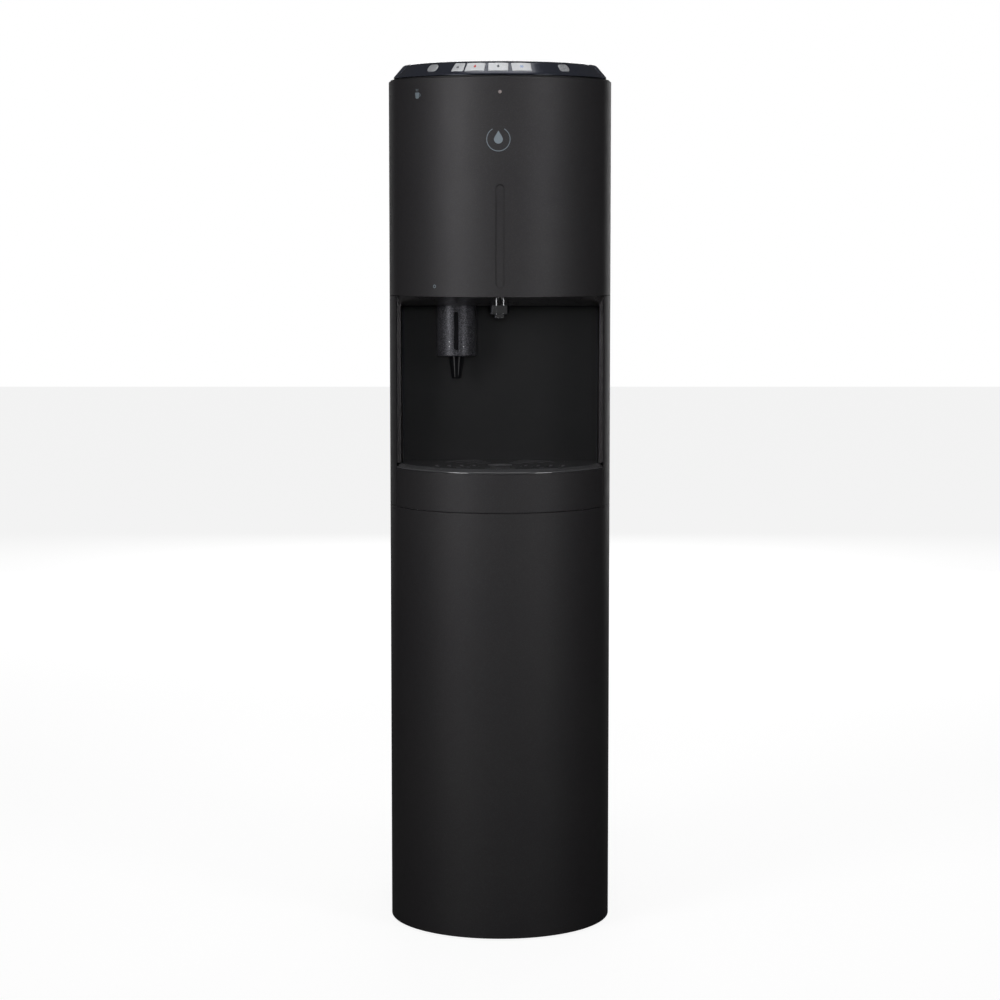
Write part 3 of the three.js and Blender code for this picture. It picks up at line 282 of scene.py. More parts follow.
@dataclass(frozen=True)
class Finish:
    """A surface finish: its two tones, its gloss and its fine relief."""

    name: str
    slot: str
    tint: Colour
    shade: Colour
    low_rough: float
    high_rough: float
    metallic: float = 0.0
    coat: float = 0.0
    drift: float = 14.0
    grain: float = 900.0
    relief: float = 0.02
    flakes: float = 0.0
    spark: Colour = (0.5, 0.5, 0.5)
    brushed: bool = False
    clear: float = 0.0
    specular: float = 0.5

    def material(self, effects: Effects) -> bpy.types.Material:
        """Builds the finish's material, once.

        Args:
            effects: The shared node groups.

        Returns:
            The material.
        """
        known = bpy.data.materials.get(self.name)
        if known:
            return known
        made = bpy.data.materials.new(self.name)
        made.use_nodes = True
        tree = made.node_tree
        shader = tree.nodes["Principled BSDF"]
        shader.inputs["Metallic"].default_value = self.metallic
        shader.inputs["Coat Weight"].default_value = self.coat
        shader.inputs["Coat Roughness"].default_value = 0.06
        shader.inputs["Transmission Weight"].default_value = self.clear
        shader.inputs["Specular IOR Level"].default_value = self.specular
        colour = tree.nodes.new("ShaderNodeGroup")
        colour.node_tree = effects.mottle
        colour.inputs["Tint"].default_value = (*self.tint, 1.0)
        colour.inputs["Shade"].default_value = (*self.shade, 1.0)
        colour.inputs["Scale"].default_value = self.drift
        tone = colour.outputs["Color"]
        if self.flakes > 0:
            spark = tree.nodes.new("ShaderNodeGroup")
            spark.node_tree = effects.flake
            spark.inputs["Spark"].default_value = (*self.spark, 1.0)
            spark.inputs["Amount"].default_value = self.flakes
            spark.inputs["Scale"].default_value = self.grain
            tree.links.new(tone, spark.inputs["Base"])
            tone = spark.outputs["Color"]
        tree.links.new(tone, shader.inputs["Base Color"])
        grain = tree.nodes.new("ShaderNodeGroup")
        grain.node_tree = effects.brushed if self.brushed else effects.grain
        grain.inputs["Scale"].default_value = self.grain
        grain.inputs["Low"].default_value = self.low_rough
        grain.inputs["High"].default_value = self.high_rough
        tree.links.new(grain.outputs["Roughness"], shader.inputs["Roughness"])
        bump = tree.nodes.new("ShaderNodeBump")
        bump.inputs["Strength"].default_value = 0.35
        bump.inputs["Distance"].default_value = self.relief * MM
        tree.links.new(grain.outputs["Height"], bump.inputs["Height"])
        tree.links.new(bump.outputs["Normal"], shader.inputs["Normal"])
        return made


CASING = Finish("SatinCasingPaint", "casing_paint", (0.042, 0.040, 0.042), (0.037, 0.035, 0.038),
                0.50, 0.57, metallic=0.45, drift=5.0, grain=1400.0, relief=0.014,
                flakes=0.10, spark=(0.16, 0.16, 0.17))
FASCIA = Finish("GlossSlateFascia", "head_paint", (0.052, 0.056, 0.076), (0.044, 0.048, 0.066),
                0.16, 0.22, metallic=0.5, coat=0.6, drift=6.0, grain=1200.0, relief=0.006,
                flakes=0.12, spark=(0.2, 0.21, 0.26))
LID = Finish("SatinSlateLid", "head_paint", (0.050, 0.053, 0.070), (0.042, 0.045, 0.060),
             0.50, 0.58, metallic=0.15, drift=6.0, grain=1300.0, relief=0.014,
             flakes=0.10, spark=(0.12, 0.13, 0.16), specular=0.2)
KEY = Finish("SilverWhiteKey", "key_white", (0.60, 0.61, 0.63), (0.54, 0.55, 0.57),
             0.22, 0.30, metallic=0.1, coat=0.5, drift=60.0, grain=1600.0, relief=0.006)
BUTTON = Finish("SatinSilverButton", "button_silver", (0.50, 0.51, 0.53), (0.43, 0.44, 0.46),
                0.24, 0.34, metallic=0.35, drift=80.0, grain=900.0, relief=0.008, brushed=True)
GLOSS = Finish("GlossBlack", "gloss_black", (0.006, 0.006, 0.007), (0.004, 0.004, 0.005),
               0.05, 0.09, coat=0.4, drift=25.0, grain=500.0, relief=0.003)
NICHE = Finish("SatinNichePlastic", "niche_plastic", (0.012, 0.012, 0.013), (0.010, 0.010, 0.011),
               0.40, 0.50, drift=9.0, grain=1500.0, relief=0.03, specular=0.3)
# The frame is the niche plastic made far lighter: partly its own slightly paler tone, partly
# painted light that offsets the shade the shell casts on it.
FRAME_WITH_PAINTED_LIGHT = Finish("NicheFrameWithPaintedLight", "niche_plastic", (0.056, 0.053, 0.055), (0.048, 0.045, 0.047),
               0.26, 0.34, metallic=0.2, coat=0.8, drift=9.0, grain=1500.0, relief=0.01)
# The soffit is the niche plastic made about five times lighter: painted light on a downward-facing
# surface that the lamps leave in shade.
SOFFIT_PAINTED_LIGHT = Finish("SoffitPaintedLight", "niche_plastic", (0.060, 0.058, 0.061), (0.052, 0.050, 0.053),
                0.34, 0.44, drift=9.0, grain=1500.0, relief=0.02)
# The grid is gloss black plastic given a grey tint: painted sheen standing in for the lit
# reflections on its top.
GRID = Finish("GridPaintedSheen", "gloss_black", (0.090, 0.090, 0.094), (0.078, 0.078, 0.082),
              0.12, 0.18, metallic=0.2, coat=0.6, drift=25.0, grain=500.0, relief=0.003)
LENS = Finish("SensorLens", "gloss_black", (0.42, 0.36, 0.35), (0.34, 0.28, 0.27), 0.10, 0.16,
              coat=0.5, drift=300.0, grain=500.0, relief=0.002)
PEARL = Finish("PearlHolderPlastic", "holder_metallic", (0.040, 0.040, 0.045),
               (0.028, 0.028, 0.033), 0.34, 0.46, metallic=0.6, drift=160.0, grain=1500.0,
               relief=0.05, flakes=0.7, spark=(0.26, 0.26, 0.29))
CHROME = Finish("Chrome", "chrome", (0.86, 0.87, 0.89), (0.80, 0.81, 0.83), 0.03, 0.06,
                metallic=1.0, drift=50.0, grain=300.0, relief=0.002)
BLACK = Finish("BlackPlastic", "black_plastic", (0.016, 0.016, 0.017), (0.012, 0.012, 0.013),
               0.46, 0.60, drift=16.0, grain=1400.0, relief=0.05)
REAR = Finish("RearPanelPlastic", "black_plastic", (0.030, 0.030, 0.032), (0.024, 0.024, 0.026),
              0.42, 0.54, drift=12.0, grain=1400.0, relief=0.05)
STEEL = Finish("ZincSteelSheet", "steel", (0.50, 0.51, 0.53), (0.38, 0.39, 0.42), 0.28, 0.44,
               metallic=1.0, drift=55.0, grain=700.0, relief=0.01)
STAINLESS = Finish("BrushedStainless", "stainless", (0.58, 0.58, 0.60), (0.50, 0.50, 0.52),
                   0.20, 0.32, metallic=1.0, drift=30.0, grain=1100.0, relief=0.01, brushed=True)
CLEAR = Finish("ClearTankPlastic", "tank_clear", (0.80, 0.88, 0.93), (0.76, 0.85, 0.91),
               0.06, 0.12, drift=10.0, grain=200.0, relief=0.004, clear=0.9)
WHITE = Finish("WhitePlastic", "white_plastic", (0.74, 0.74, 0.72), (0.68, 0.68, 0.66),
               0.38, 0.50, drift=40.0, grain=1200.0, relief=0.02)
FOAM = Finish("BeadFoam", "foam", (0.78, 0.78, 0.75), (0.66, 0.66, 0.62), 0.80, 0.95,
              drift=220.0, grain=330.0, relief=0.5)
WRAP = Finish("TankWrap", "wrap", (0.60, 0.61, 0.63), (0.40, 0.41, 0.43), 0.30, 0.60,
              metallic=0.8, drift=70.0, grain=120.0, relief=0.6)
SILICONE = Finish("Silicone", "silicone", (0.30, 0.30, 0.31), (0.24, 0.24, 0.25), 0.50, 0.66,
                  drift=60.0, grain=800.0, relief=0.02)
RUBBER = Finish("FootRubber", "foot_rubber", (0.018, 0.018, 0.018), (0.012, 0.012, 0.012),
                0.70, 0.88, drift=90.0, grain=900.0, relief=0.06)
COPPER = Finish("Copper", "copper", (0.60, 0.27, 0.15), (0.45, 0.18, 0.10), 0.22, 0.40,
                metallic=1.0, drift=90.0, grain=700.0, relief=0.01)
BLACK_STEEL = Finish("BlackEnamelSteel", "black_steel", (0.014, 0.014, 0.015),
                     (0.010, 0.010, 0.011), 0.30, 0.46, coat=0.3, drift=30.0, grain=600.0,
                     relief=0.03)
BOARD = Finish("CircuitBoard", "circuit_board", (0.012, 0.11, 0.045), (0.02, 0.17, 0.07),
               0.30, 0.46, coat=0.3, drift=420.0, grain=600.0, relief=0.08)
CAST = Finish("CastHousing", "cast_housing", (0.10, 0.10, 0.11), (0.07, 0.07, 0.08), 0.42, 0.60,
              metallic=0.5, drift=60.0, grain=700.0, relief=0.08)
PRINT = Finish("GreyPrintInk", "casing_paint", (0.190, 0.230, 0.260), (0.170, 0.208, 0.236),
               0.45, 0.55, drift=60.0, grain=1500.0, relief=0.003)
RED_INK = Finish("RedInk", "key_white", (0.55, 0.04, 0.03), (0.47, 0.03, 0.025), 0.35, 0.45,
                 drift=200.0, grain=1500.0, relief=0.002)
BLUE_INK = Finish("BlueInk", "key_white", (0.05, 0.20, 0.55), (0.04, 0.16, 0.47), 0.35, 0.45,
                  drift=200.0, grain=1500.0, relief=0.002)
GREY_INK = Finish("GreyInk", "key_white", (0.09, 0.10, 0.11), (0.07, 0.08, 0.09), 0.35, 0.45,
                  drift=200.0, grain=1500.0, relief=0.002)

CARRIED: dict[str, Finish] = {
    "sensor_lens": LENS, "brew_head": CAST, "brew_seal": SILICONE,
    "piercing_needle": STAINLESS, "key_mat": SILICONE, "control_board": BOARD,
    "lid_pin_left": STAINLESS, "lid_pin_right": STAINLESS, "tank_filter": WHITE,
    "tank_valve": WHITE, "left_upright": STEEL, "right_upright": STEEL, "cold_shelf": STEEL,
    "tank_shelf": STEEL, "cold_tank_jacket": FOAM, "cold_tank": STAINLESS,
    "evaporator_coil": COPPER, "hot_tank": WRAP, "compressor": BLACK_STEEL,
    "condenser_coil": BLACK_STEEL, "pump": CAST, "power_board": BOARD, "valve_block": WHITE,
    "solenoid_hot": CAST, "solenoid_room": CAST, "solenoid_cold": CAST, "cold_hose": SILICONE,
    "hot_hose": SILICONE, "foot_front_left": RUBBER, "foot_front_right": RUBBER,
    "foot_rear_left": RUBBER, "foot_rear_right": RUBBER,
}


# ---------------------------------------------------------------- blanks


class Blank:
    """A piece in the making: a bmesh in millimetres on the frame's axes."""

    effects: Effects

    def __init__(self) -> None:
        """Starts with nothing."""
        self.bm = bmesh.new()
        self.top: bmesh.types.BMFace | None = None

    @classmethod
    def spun(cls, outline: Sequence[Pair], rounds: dict[int, float], centre: Pair,
             start: float = 0.0, sweep: float = 360.0, steps: int = 96) -> "Blank":
        """Spins an outline of radius and height round an upright axis.

        Args:
            outline: Radius and height of each corner, in order.
            rounds: Rounding of the corners that have one, by index.
            centre: X and Y of the axis.
            start: Angle of the first section from +X, in degrees.
            sweep: Angle spun through, in degrees.
            steps: Sections of the spin.

        Returns:
            The closed blank.
        """
        made = cls()
        bm = made.bm
        corners = [bm.verts.new((r, 0.0, z)) for r, z in outline]
        bm.faces.new(corners)
        for index, offset in rounds.items():
            bmesh.ops.bevel(bm, geom=[corners[index]], offset=offset, offset_type="OFFSET",
                            segments=ROUND_STEPS, profile=0.5, affect="VERTICES", material=-1)
        bmesh.ops.delete(bm, geom=bm.faces[:], context="FACES_ONLY")
        axial = [e for e in bm.edges if all(abs(v.co.x) < 1e-6 for v in e.verts)]
        bmesh.ops.delete(bm, geom=axial, context="EDGES")
        turn = Matrix.Rotation(math.radians(start), 3, "Z")
        bmesh.ops.rotate(bm, cent=(0, 0, 0), matrix=turn, verts=bm.verts[:])
        full = abs(sweep) >= 360.0
        bmesh.ops.spin(bm, geom=bm.verts[:] + bm.edges[:], cent=(0, 0, 0), axis=(0, 0, 1),
                       dvec=(0, 0, 0), angle=math.radians(sweep), steps=steps, use_merge=full,
                       use_normal_flip=False, use_duplicate=False)
        bmesh.ops.remove_doubles(bm, verts=bm.verts[:], dist=MERGE)
        if not full:
            made.close()
        bmesh.ops.translate(bm, vec=(*centre, 0.0), verts=bm.verts[:])
        return made.tidy()

    @classmethod
    def plate(cls, corners: Sequence[Pair], rounds: dict[int, float] | float, place: Matrix,
              steps: Sequence[Pair], segments: int = 6) -> "Blank":
        """Raises a flat outline in steps.

        Args:
            corners: The outline's corners on the plate's own X and Y, anticlockwise.
            rounds: Rounding of all corners, or of some by index.
            place: Where the plate's own frame is.
            steps: Inset and rise of each step; the first has no inset.
            segments: Segments of each rounding.

        Returns:
            The closed blank.
        """
        made = cls()
        bm = made.bm
        verts = [bm.verts.new((x, y, 0.0)) for x, y in corners]
        made.top = bm.faces.new(verts)
        if isinstance(rounds, float):
            rounds = {i: rounds for i in range(len(verts))} if rounds > 0 else {}
        for index, offset in rounds.items():
            bmesh.ops.bevel(bm, geom=[verts[index]], offset=offset, offset_type="OFFSET",
                            segments=segments, profile=0.5, affect="VERTICES", material=-1)
        bmesh.ops.remove_doubles(bm, verts=bm.verts[:], dist=MERGE)
        made.top = bm.faces[:][0]
        made.loft(steps)
        made.tidy()
        bmesh.ops.transform(bm, matrix=place, verts=bm.verts[:])
        return made

    @classmethod
    def round_front(cls, half: float, radius: float, arc_y: float, rear: float, corner: float,
                    z: float, steps: Sequence[Pair]) -> "Blank":
        """Raises the plan of a body with a round front and two round rear corners.

        Args:
            half: Half the width between the straight sides.
            radius: Radius of the front.
            arc_y: Y of the front's centre.
            rear: Y of the rear face.
            corner: Radius of the rear corners.
            z: Height of the underside.
            steps: Inset and rise of each step; the first has no inset.

        Returns:
            The closed blank.
        """
        made = cls()
        bm = made.bm
        end = math.acos(min(half / radius, 1.0))
        first = bm.verts.new((half, arc_y - radius * math.sin(end), z))
        swept = bmesh.ops.spin(bm, geom=[first], cent=(0, arc_y, z), axis=(0, 0, 1),
                               dvec=(0, 0, 0), angle=2 * end - math.pi, steps=128,
                               use_merge=False, use_normal_flip=False, use_duplicate=False)
        last = next(g for g in swept["geom_last"] if isinstance(g, bmesh.types.BMVert))
        rears = [bm.verts.new((side * half, rear, z)) for side in (-1, 1)]
        for pair in ((last, rears[0]), (rears[0], rears[1]), (rears[1], first)):
            bm.edges.new(pair)
        bmesh.ops.edgeloop_fill(bm, edges=bm.edges[:])
        for vert in rears:
            bmesh.ops.bevel(bm, geom=[vert], offset=corner, offset_type="OFFSET", segments=14,
                            profile=0.5, affect="VERTICES", material=-1)
        made.top = bm.faces[:][0]
        made.top.normal_update()
        if made.top.normal.z < 0:
            made.top.normal_flip()
        made.loft(steps)
        return made.tidy()

    @classmethod
    def block(cls, low: Sequence[float], high: Sequence[float]) -> "Blank":
        """Makes a plain cutting block.

        Args:
            low: Its lowest corner.
            high: Its highest corner.

        Returns:
            The blank.
        """
        made = cls()
        bmesh.ops.create_cube(made.bm, size=1.0)
        size = Vector(high) - Vector(low)
        middle = (Vector(high) + Vector(low)) / 2
        bmesh.ops.scale(made.bm, vec=size, verts=made.bm.verts[:])
        bmesh.ops.translate(made.bm, vec=middle, verts=made.bm.verts[:])
        return made

    @classmethod
    def rod(cls, radii: Pair, low: Vector, high: Vector, segments: int = 48) -> "Blank":
        """Makes a round bar or a cone between two points.

        Args:
            radii: Radius at each end.
            low: Middle of the first end.
            high: Middle of the second end.
            segments: Segments round it.

        Returns:
            The blank.
        """
        made = cls()
        run = high - low
        bmesh.ops.create_cone(made.bm, cap_ends=True, segments=segments, radius1=radii[0],
                              radius2=radii[1], depth=run.length)
        turn = Vector((0, 0, 1)).rotation_difference(run).to_matrix()
        bmesh.ops.rotate(made.bm, cent=(0, 0, 0), matrix=turn, verts=made.bm.verts[:])
        bmesh.ops.translate(made.bm, vec=(low + high) / 2, verts=made.bm.verts[:])
        return made

    @classmethod
    def copy_of(cls, node: str, edge: float = 0.0, flat: float = 1.0) -> "Blank":
        """Copies a CAD node, merges it and eases its edges.

        Args:
            node: Name of the node.
            edge: Width of the eased edges.
            flat: Angle under which neighbouring faces count as one, in degrees.

        Returns:
            The blank.
        """
        made = cls()
        bm = made.bm
        bm.from_mesh(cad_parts[node].data)
        bmesh.ops.scale(bm, vec=(1 / MM,) * 3, verts=bm.verts[:])
        bmesh.ops.remove_doubles(bm, verts=bm.verts[:], dist=1e-3)
        bmesh.ops.dissolve_limit(bm, angle_limit=math.radians(flat), verts=bm.verts[:],
                                 edges=bm.edges[:], use_dissolve_boundaries=False)
        if edge > 0:
            made.ease(edge)
        return made

    def loft(self, steps: Sequence[Pair]) -> "Blank":
        """Raises the top face step by step.

        Args:
            steps: Inset and rise of each step.

        Returns:
            This blank.
        """
        for inset, rise in steps:
            if inset == 0:
                self.top.normal_update()
                shift = self.top.normal * rise
                grown = bmesh.ops.extrude_face_region(self.bm, geom=[self.top])
                verts = [g for g in grown["geom"] if isinstance(g, bmesh.types.BMVert)]
                self.top = next(g for g in grown["geom"] if isinstance(g, bmesh.types.BMFace))
                bmesh.ops.translate(self.bm, vec=shift, verts=verts)
            else:
                self.top.normal_update()
                bmesh.ops.inset_region(self.bm, faces=[self.top], thickness=inset, depth=rise,
                                       use_even_offset=True, use_boundary=True)
        return self

    def close(self) -> "Blank":
        """Fills every open loop."""
        rims = [e for e in self.bm.edges if e.is_boundary or e.is_wire]
        bmesh.ops.holes_fill(self.bm, edges=rims, sides=0)
        return self

    def tidy(self) -> "Blank":
        """Merges doubles and turns every face outwards."""
        bmesh.ops.remove_doubles(self.bm, verts=self.bm.verts[:], dist=MERGE)
        bmesh.ops.recalc_face_normals(self.bm, faces=self.bm.faces[:])
        return self

    def slice(self, at: Sequence[float], away: Sequence[float]) -> "Blank":
        """Takes off what lies beyond a plane and closes the cut.

        Args:
            at: A point on the plane.
            away: The plane's normal, towards what goes.

        Returns:
            This blank.
        """
        bm = self.bm
        bmesh.ops.bisect_plane(bm, geom=bm.verts[:] + bm.edges[:] + bm.faces[:], dist=ON_PLANE,
                               plane_co=at, plane_no=away, clear_outer=True)
        self.close()
        return self.tidy()

    def score(self, pitch: float, half: float) -> "Blank":
        """Adds cuts across local X so that the blank can be bent.

        Args:
            pitch: Distance between the cuts.
            half: How far out the cuts go.

        Returns:
            This blank.
        """
        bm = self.bm
        count = int(half / pitch)
        for i in range(-count, count + 1):
            bmesh.ops.bisect_plane(bm, geom=bm.verts[:] + bm.edges[:] + bm.faces[:], dist=ON_PLANE,
                                   plane_co=(i * pitch, 0, 0), plane_no=(1, 0, 0))
        return self

    def carve(self, tool: "Blank", how: Carve = Carve.CUT) -> "Blank":
        """Cuts this blank with another, or keeps their common part.

        Args:
            tool: The other blank, used up by this.
            how: What the tool does.

        Returns:
            This blank.
        """
        hosts = []
        for blank in (self, tool):
            mesh = bpy.data.meshes.new("blank")
            blank.bm.to_mesh(mesh)
            host = bpy.data.objects.new("blank", mesh)
            bpy.context.scene.collection.objects.link(host)
            hosts.append(host)
        modifier = hosts[0].modifiers.new("carve", "BOOLEAN")
        modifier.object = hosts[1]
        modifier.operation = how.value
        modifier.solver = "EXACT"
        graph = bpy.context.evaluated_depsgraph_get()
        result = bpy.data.meshes.new_from_object(hosts[0].evaluated_get(graph))
        self.bm.clear()
        self.bm.from_mesh(result)
        bpy.data.meshes.remove(result)
        for host in hosts:
            mesh = host.data
            bpy.data.objects.remove(host)
            bpy.data.meshes.remove(mesh)
        tool.bm.free()
        bmesh.ops.remove_doubles(self.bm, verts=self.bm.verts[:], dist=MERGE)
        return self

    def ease(self, width: float, segments: int = 2, over: float = 32.0) -> "Blank":
        """Rounds the sharp edges.

        Args:
            width: Width of the rounding.
            segments: Segments of the rounding.
            over: Angle from which an edge counts as sharp, in degrees.

        Returns:
            This blank.
        """
        limit = math.radians(over)
        sharp = [e for e in self.bm.edges if e.is_manifold and e.calc_face_angle(0.0) > limit]
        bmesh.ops.bevel(self.bm, geom=sharp, offset=width, offset_type="OFFSET",
                        segments=segments, profile=0.5, affect="EDGES", clamp_overlap=True,
                        material=-1)
        return self

    def add(self, other: "Blank") -> "Blank":
        """Adds another blank as a separate body of the same piece."""
        mesh = bpy.data.meshes.new("added")
        other.bm.to_mesh(mesh)
        self.bm.from_mesh(mesh)
        bpy.data.meshes.remove(mesh)
        other.bm.free()
        return self

    def bend(self, radius: float) -> "Blank":
        """Bends the blank back along its own X to follow a round surface."""
        for vert in self.bm.verts:
            vert.co.z -= vert.co.x ** 2 / (2 * radius)
        return self

    def wrap(self, radius: float, arc_y: float) -> "Blank":
        """Lays a flat blank round the front: X along the arc, Y up and Z outwards."""
        for vert in self.bm.verts:
            turn = vert.co.x / radius
            out = radius + vert.co.z
            vert.co = Vector((out * math.sin(turn), arc_y - out * math.cos(turn), vert.co.y))
        return self

    def put(self, place: Matrix) -> "Blank":
        """Moves the blank by a matrix."""
        bmesh.ops.transform(self.bm, matrix=place, verts=self.bm.verts[:])
        return self

    def piece(self, name: str, finish: Finish, body: Body, *nodes: str,
              crease: float = 32.0) -> bpy.types.Object:
        """Makes the finished piece.

        Args:
            name: Name of the piece.
            finish: Its finish.
            body: The body that it rides on.
            *nodes: CAD nodes that it stands for.
            crease: Angle from which an edge stays sharp, in degrees.

        Returns:
            The piece's object.
        """
        bmesh.ops.scale(self.bm, vec=(MM,) * 3, verts=self.bm.verts[:])
        mesh = bpy.data.meshes.new(name)
        self.bm.to_mesh(mesh)
        self.bm.free()
        mesh.shade_smooth()
        mesh.set_sharp_from_angle(angle=math.radians(crease))
        mesh.materials.append(finish.material(Blank.effects))
        made = bpy.data.objects.new(name, mesh)
        bpy.context.scene.collection.objects.link(made)
        normals = made.modifiers.new("even_normals", "WEIGHTED_NORMAL")
        normals.keep_sharp = True
        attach(made, body.value)
        if nodes:
            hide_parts(*nodes)
        log.info("%s: %d faces on %s", name, len(mesh.polygons), body.value)
        return made


# ---------------------------------------------------------------- sub-assemblies


@dataclass
class Casing:
    """The painted outer skins, the top plate and the rear."""

    radius: float = 144.95
    wall: float = 3.0
    arc_y: float = -36.5
    corner: float = 28.0
    steps: int = 144
    edge: float = 0.7
    top_edge: float = 1.5
    groove: Pair = (11.5, 130.0)
    groove_z: float = 906.0
    groove_depth: float = 1.6
    chamfer: float = 1.3
    lens_radius: float = 2.2
    lap: float = 0.3
    seam: float = 0.6
    column_inner: float = 134.6
    plate_inset: float = 2.2
    opening_half: float = 113.5
    opening_corner: float = 15.5
    opening_ends: Pair = (5.5, 10.0)

    def skin(self, node: str, low_edge: float, top_edge: float) -> Blank:
        """Spins a front skin between the heights of a node.

        Args:
            node: The CAD node that it stands for.
            low_edge: Rounding of its lower outer edge.
            top_edge: Rounding of its upper outer edge.

        Returns:
            The blank, cut back to the node's rear face.
        """
        low, high = span(node)
        inner = self.radius - self.wall
        outline = [(inner, low.z), (self.radius, low.z), (self.radius, high.z), (inner, high.z)]
        made = Blank.spun(outline, {1: low_edge, 2: top_edge}, (0.0, self.arc_y), 180.0, 180.0,
                          self.steps)
        return made.slice((0, high.y, 0), (0, 1, 0))

    def groove_tool(self) -> Blank:
        """Makes the cutter of the shallow upright groove."""
        half_w, half_l = self.groove[0] / 2, self.groove[1] / 2
        corners = [(-half_w, -half_l), (half_w, -half_l), (half_w, half_l), (-half_w, half_l)]
        front = self.arc_y - self.radius
        place = Matrix(((1, 0, 0, 0), (0, 0, 1, front - 1), (0, 1, 0, self.groove_z),
                        (0, 0, 0, 1)))
        steps = [(0, 1.1), (self.chamfer, self.groove_depth - 0.1)]
        made = Blank.plate(corners, half_w - 0.01, place, steps, segments=12)
        return made.tidy()

    def upper(self) -> None:
        """Builds the upper front shell with its groove and sensor hole."""
        shell = self.skin("upper_front_shell", self.edge, self.top_edge)
        shell.carve(self.groove_tool())
        low, high = span("sensor_lens")
        middle = (low + high) / 2
        hole = Blank.rod((self.lens_radius,) * 2, Vector((0, low.y - 4, middle.z)),
                         Vector((0, high.y + 4, middle.z)), 40)
        shell.carve(hole)
        shell.piece("upper_shell_skin", CASING, Body.CABINET, "upper_front_shell")

    def lower(self) -> None:
        """Builds the lower front panel."""
        panel = self.skin("lower_front_panel", self.edge, self.edge)
        panel.piece("lower_panel_skin", CASING, Body.CABINET, "lower_front_panel")

    def side(self, sign: int, node: str, name: str) -> None:
        """Builds one side panel with its rear corner and front column.

        Args:
            sign: 1 for the right side and -1 for the left.
            node: The CAD node that it stands for.
            name: Name of the piece.
        """
        low, high = span(node)
        rear = high.y
        made = Blank()
        bm = made.bm
        outer, inner = self.radius, self.radius - self.wall
        y = self.arc_y + self.lap
        corners = [bm.verts.new(p) for p in ((inner, y, low.z), (outer, y, low.z),
                                             (outer, y, high.z), (inner, y, high.z))]
        bm.faces.new(corners)
        bmesh.ops.bevel(bm, geom=[corners[2]], offset=self.top_edge, offset_type="OFFSET",
                        segments=ROUND_STEPS, profile=0.5, affect="VERTICES", material=-1)
        bmesh.ops.delete(bm, geom=bm.faces[:], context="FACES_ONLY")
        loop = bm.edges[:]
        run = bmesh.ops.extrude_edge_only(bm, edges=loop)
        verts = [g for g in run["geom"] if isinstance(g, bmesh.types.BMVert)]
        cut = [g for g in run["geom"] if isinstance(g, bmesh.types.BMEdge)]
        far = [e for e in cut if all(v in verts for v in e.verts)]
        bmesh.ops.translate(bm, vec=(0, rear - self.corner - y, 0), verts=verts)
        bmesh.ops.spin(bm, geom=verts + far, axis=(0, 0, 1), dvec=(0, 0, 0), steps=20,
                       cent=(self.radius - self.corner, rear - self.corner, 0),
                       angle=math.pi / 2, use_merge=False, use_normal_flip=False,
                       use_duplicate=False)
        made.close().tidy()
        column_low = span("tray_front")[0].z
        column_high = span("upper_front_shell")[0].z - self.seam
        outline = [(inner, column_low), (outer, column_low), (outer, column_high),
                   (inner, column_high)]
        column = Blank.spun(outline, {1: 0.3, 2: 0.3}, (0.0, self.arc_y), 300.0, 60.0, 56)
        column.slice((self.column_inner, 0, 0), (-1, 0, 0))
        bmesh.ops.translate(column.bm, vec=(0, self.lap, 0), verts=[
            v for v in column.bm.verts if abs(v.co.y - self.arc_y) < 1e-3])
        made.add(column)
        if sign < 0:
            bmesh.ops.mirror(made.bm, geom=made.bm.verts[:] + made.bm.edges[:] + made.bm.faces[:],
                             axis="X", merge_dist=-1)
            made.slice((0, 0, 0), (1, 0, 0))
        made.piece(name, CASING, Body.CABINET, node)

    def top_plate(self) -> None:
        """Builds the dark plate between the casing and the head."""
        low, high = span("top_plate")
        tank_low, tank_high = span("water_tank")
        plate = Blank.round_front(high.x, high.x, self.arc_y, high.y,
                                  self.corner - self.plate_inset, low.z,
                                  [(0, high.z - low.z - 0.3), (0.3, 0.3)])
        half = self.opening_half
        front, rear = tank_low.y + self.opening_ends[0], tank_high.y - self.opening_ends[1]
        opening = [(-half, front), (half, front), (half, rear), (-half, rear)]
        tool = Blank.plate(opening, self.opening_corner,
                           Matrix.Translation((0, 0, low.z - 5)), [(0, 15)])
        plate.carve(tool)
        plate.piece("top_rim_plate", BLACK, Body.CABINET, "top_plate")

    def rear(self) -> None:
        """Dresses the rear panel, the inlet and the base."""
        Blank.copy_of("rear_panel", 0.35).piece("rear_vent_panel", REAR, Body.CABINET,
                                                "rear_panel")
        Blank.copy_of("power_inlet", 0.3).piece("mains_inlet", BLACK, Body.CABINET,
                                                "power_inlet")
        Blank.copy_of("base_plate").piece("base_pan", BLACK, Body.CABINET, "base_plate")

    def build(self) -> None:
        """Builds every piece of the casing."""
        self.upper()
        self.lower()
        self.side(1, "right_side_panel", "right_side_skin")
        self.side(-1, "left_side_panel", "left_side_skin")
        self.top_plate()
        self.rear()


@dataclass
class Niche:
    """The recess where the cup stands."""

    edge: float = 0.5

    def build(self) -> None:
        """Copies the flat sheets with eased edges."""
        # The frame and soffit finishes are lightened with painted light.
        for node, name, finish in (("niche_liner", "niche_bay", NICHE),
                                   ("niche_bezel", "niche_frame", FRAME_WITH_PAINTED_LIGHT),
                                   ("niche_ceiling", "niche_soffit", SOFFIT_PAINTED_LIGHT)):
            Blank.copy_of(node, self.edge, 0.2).piece(name, finish, Body.CABINET, node)


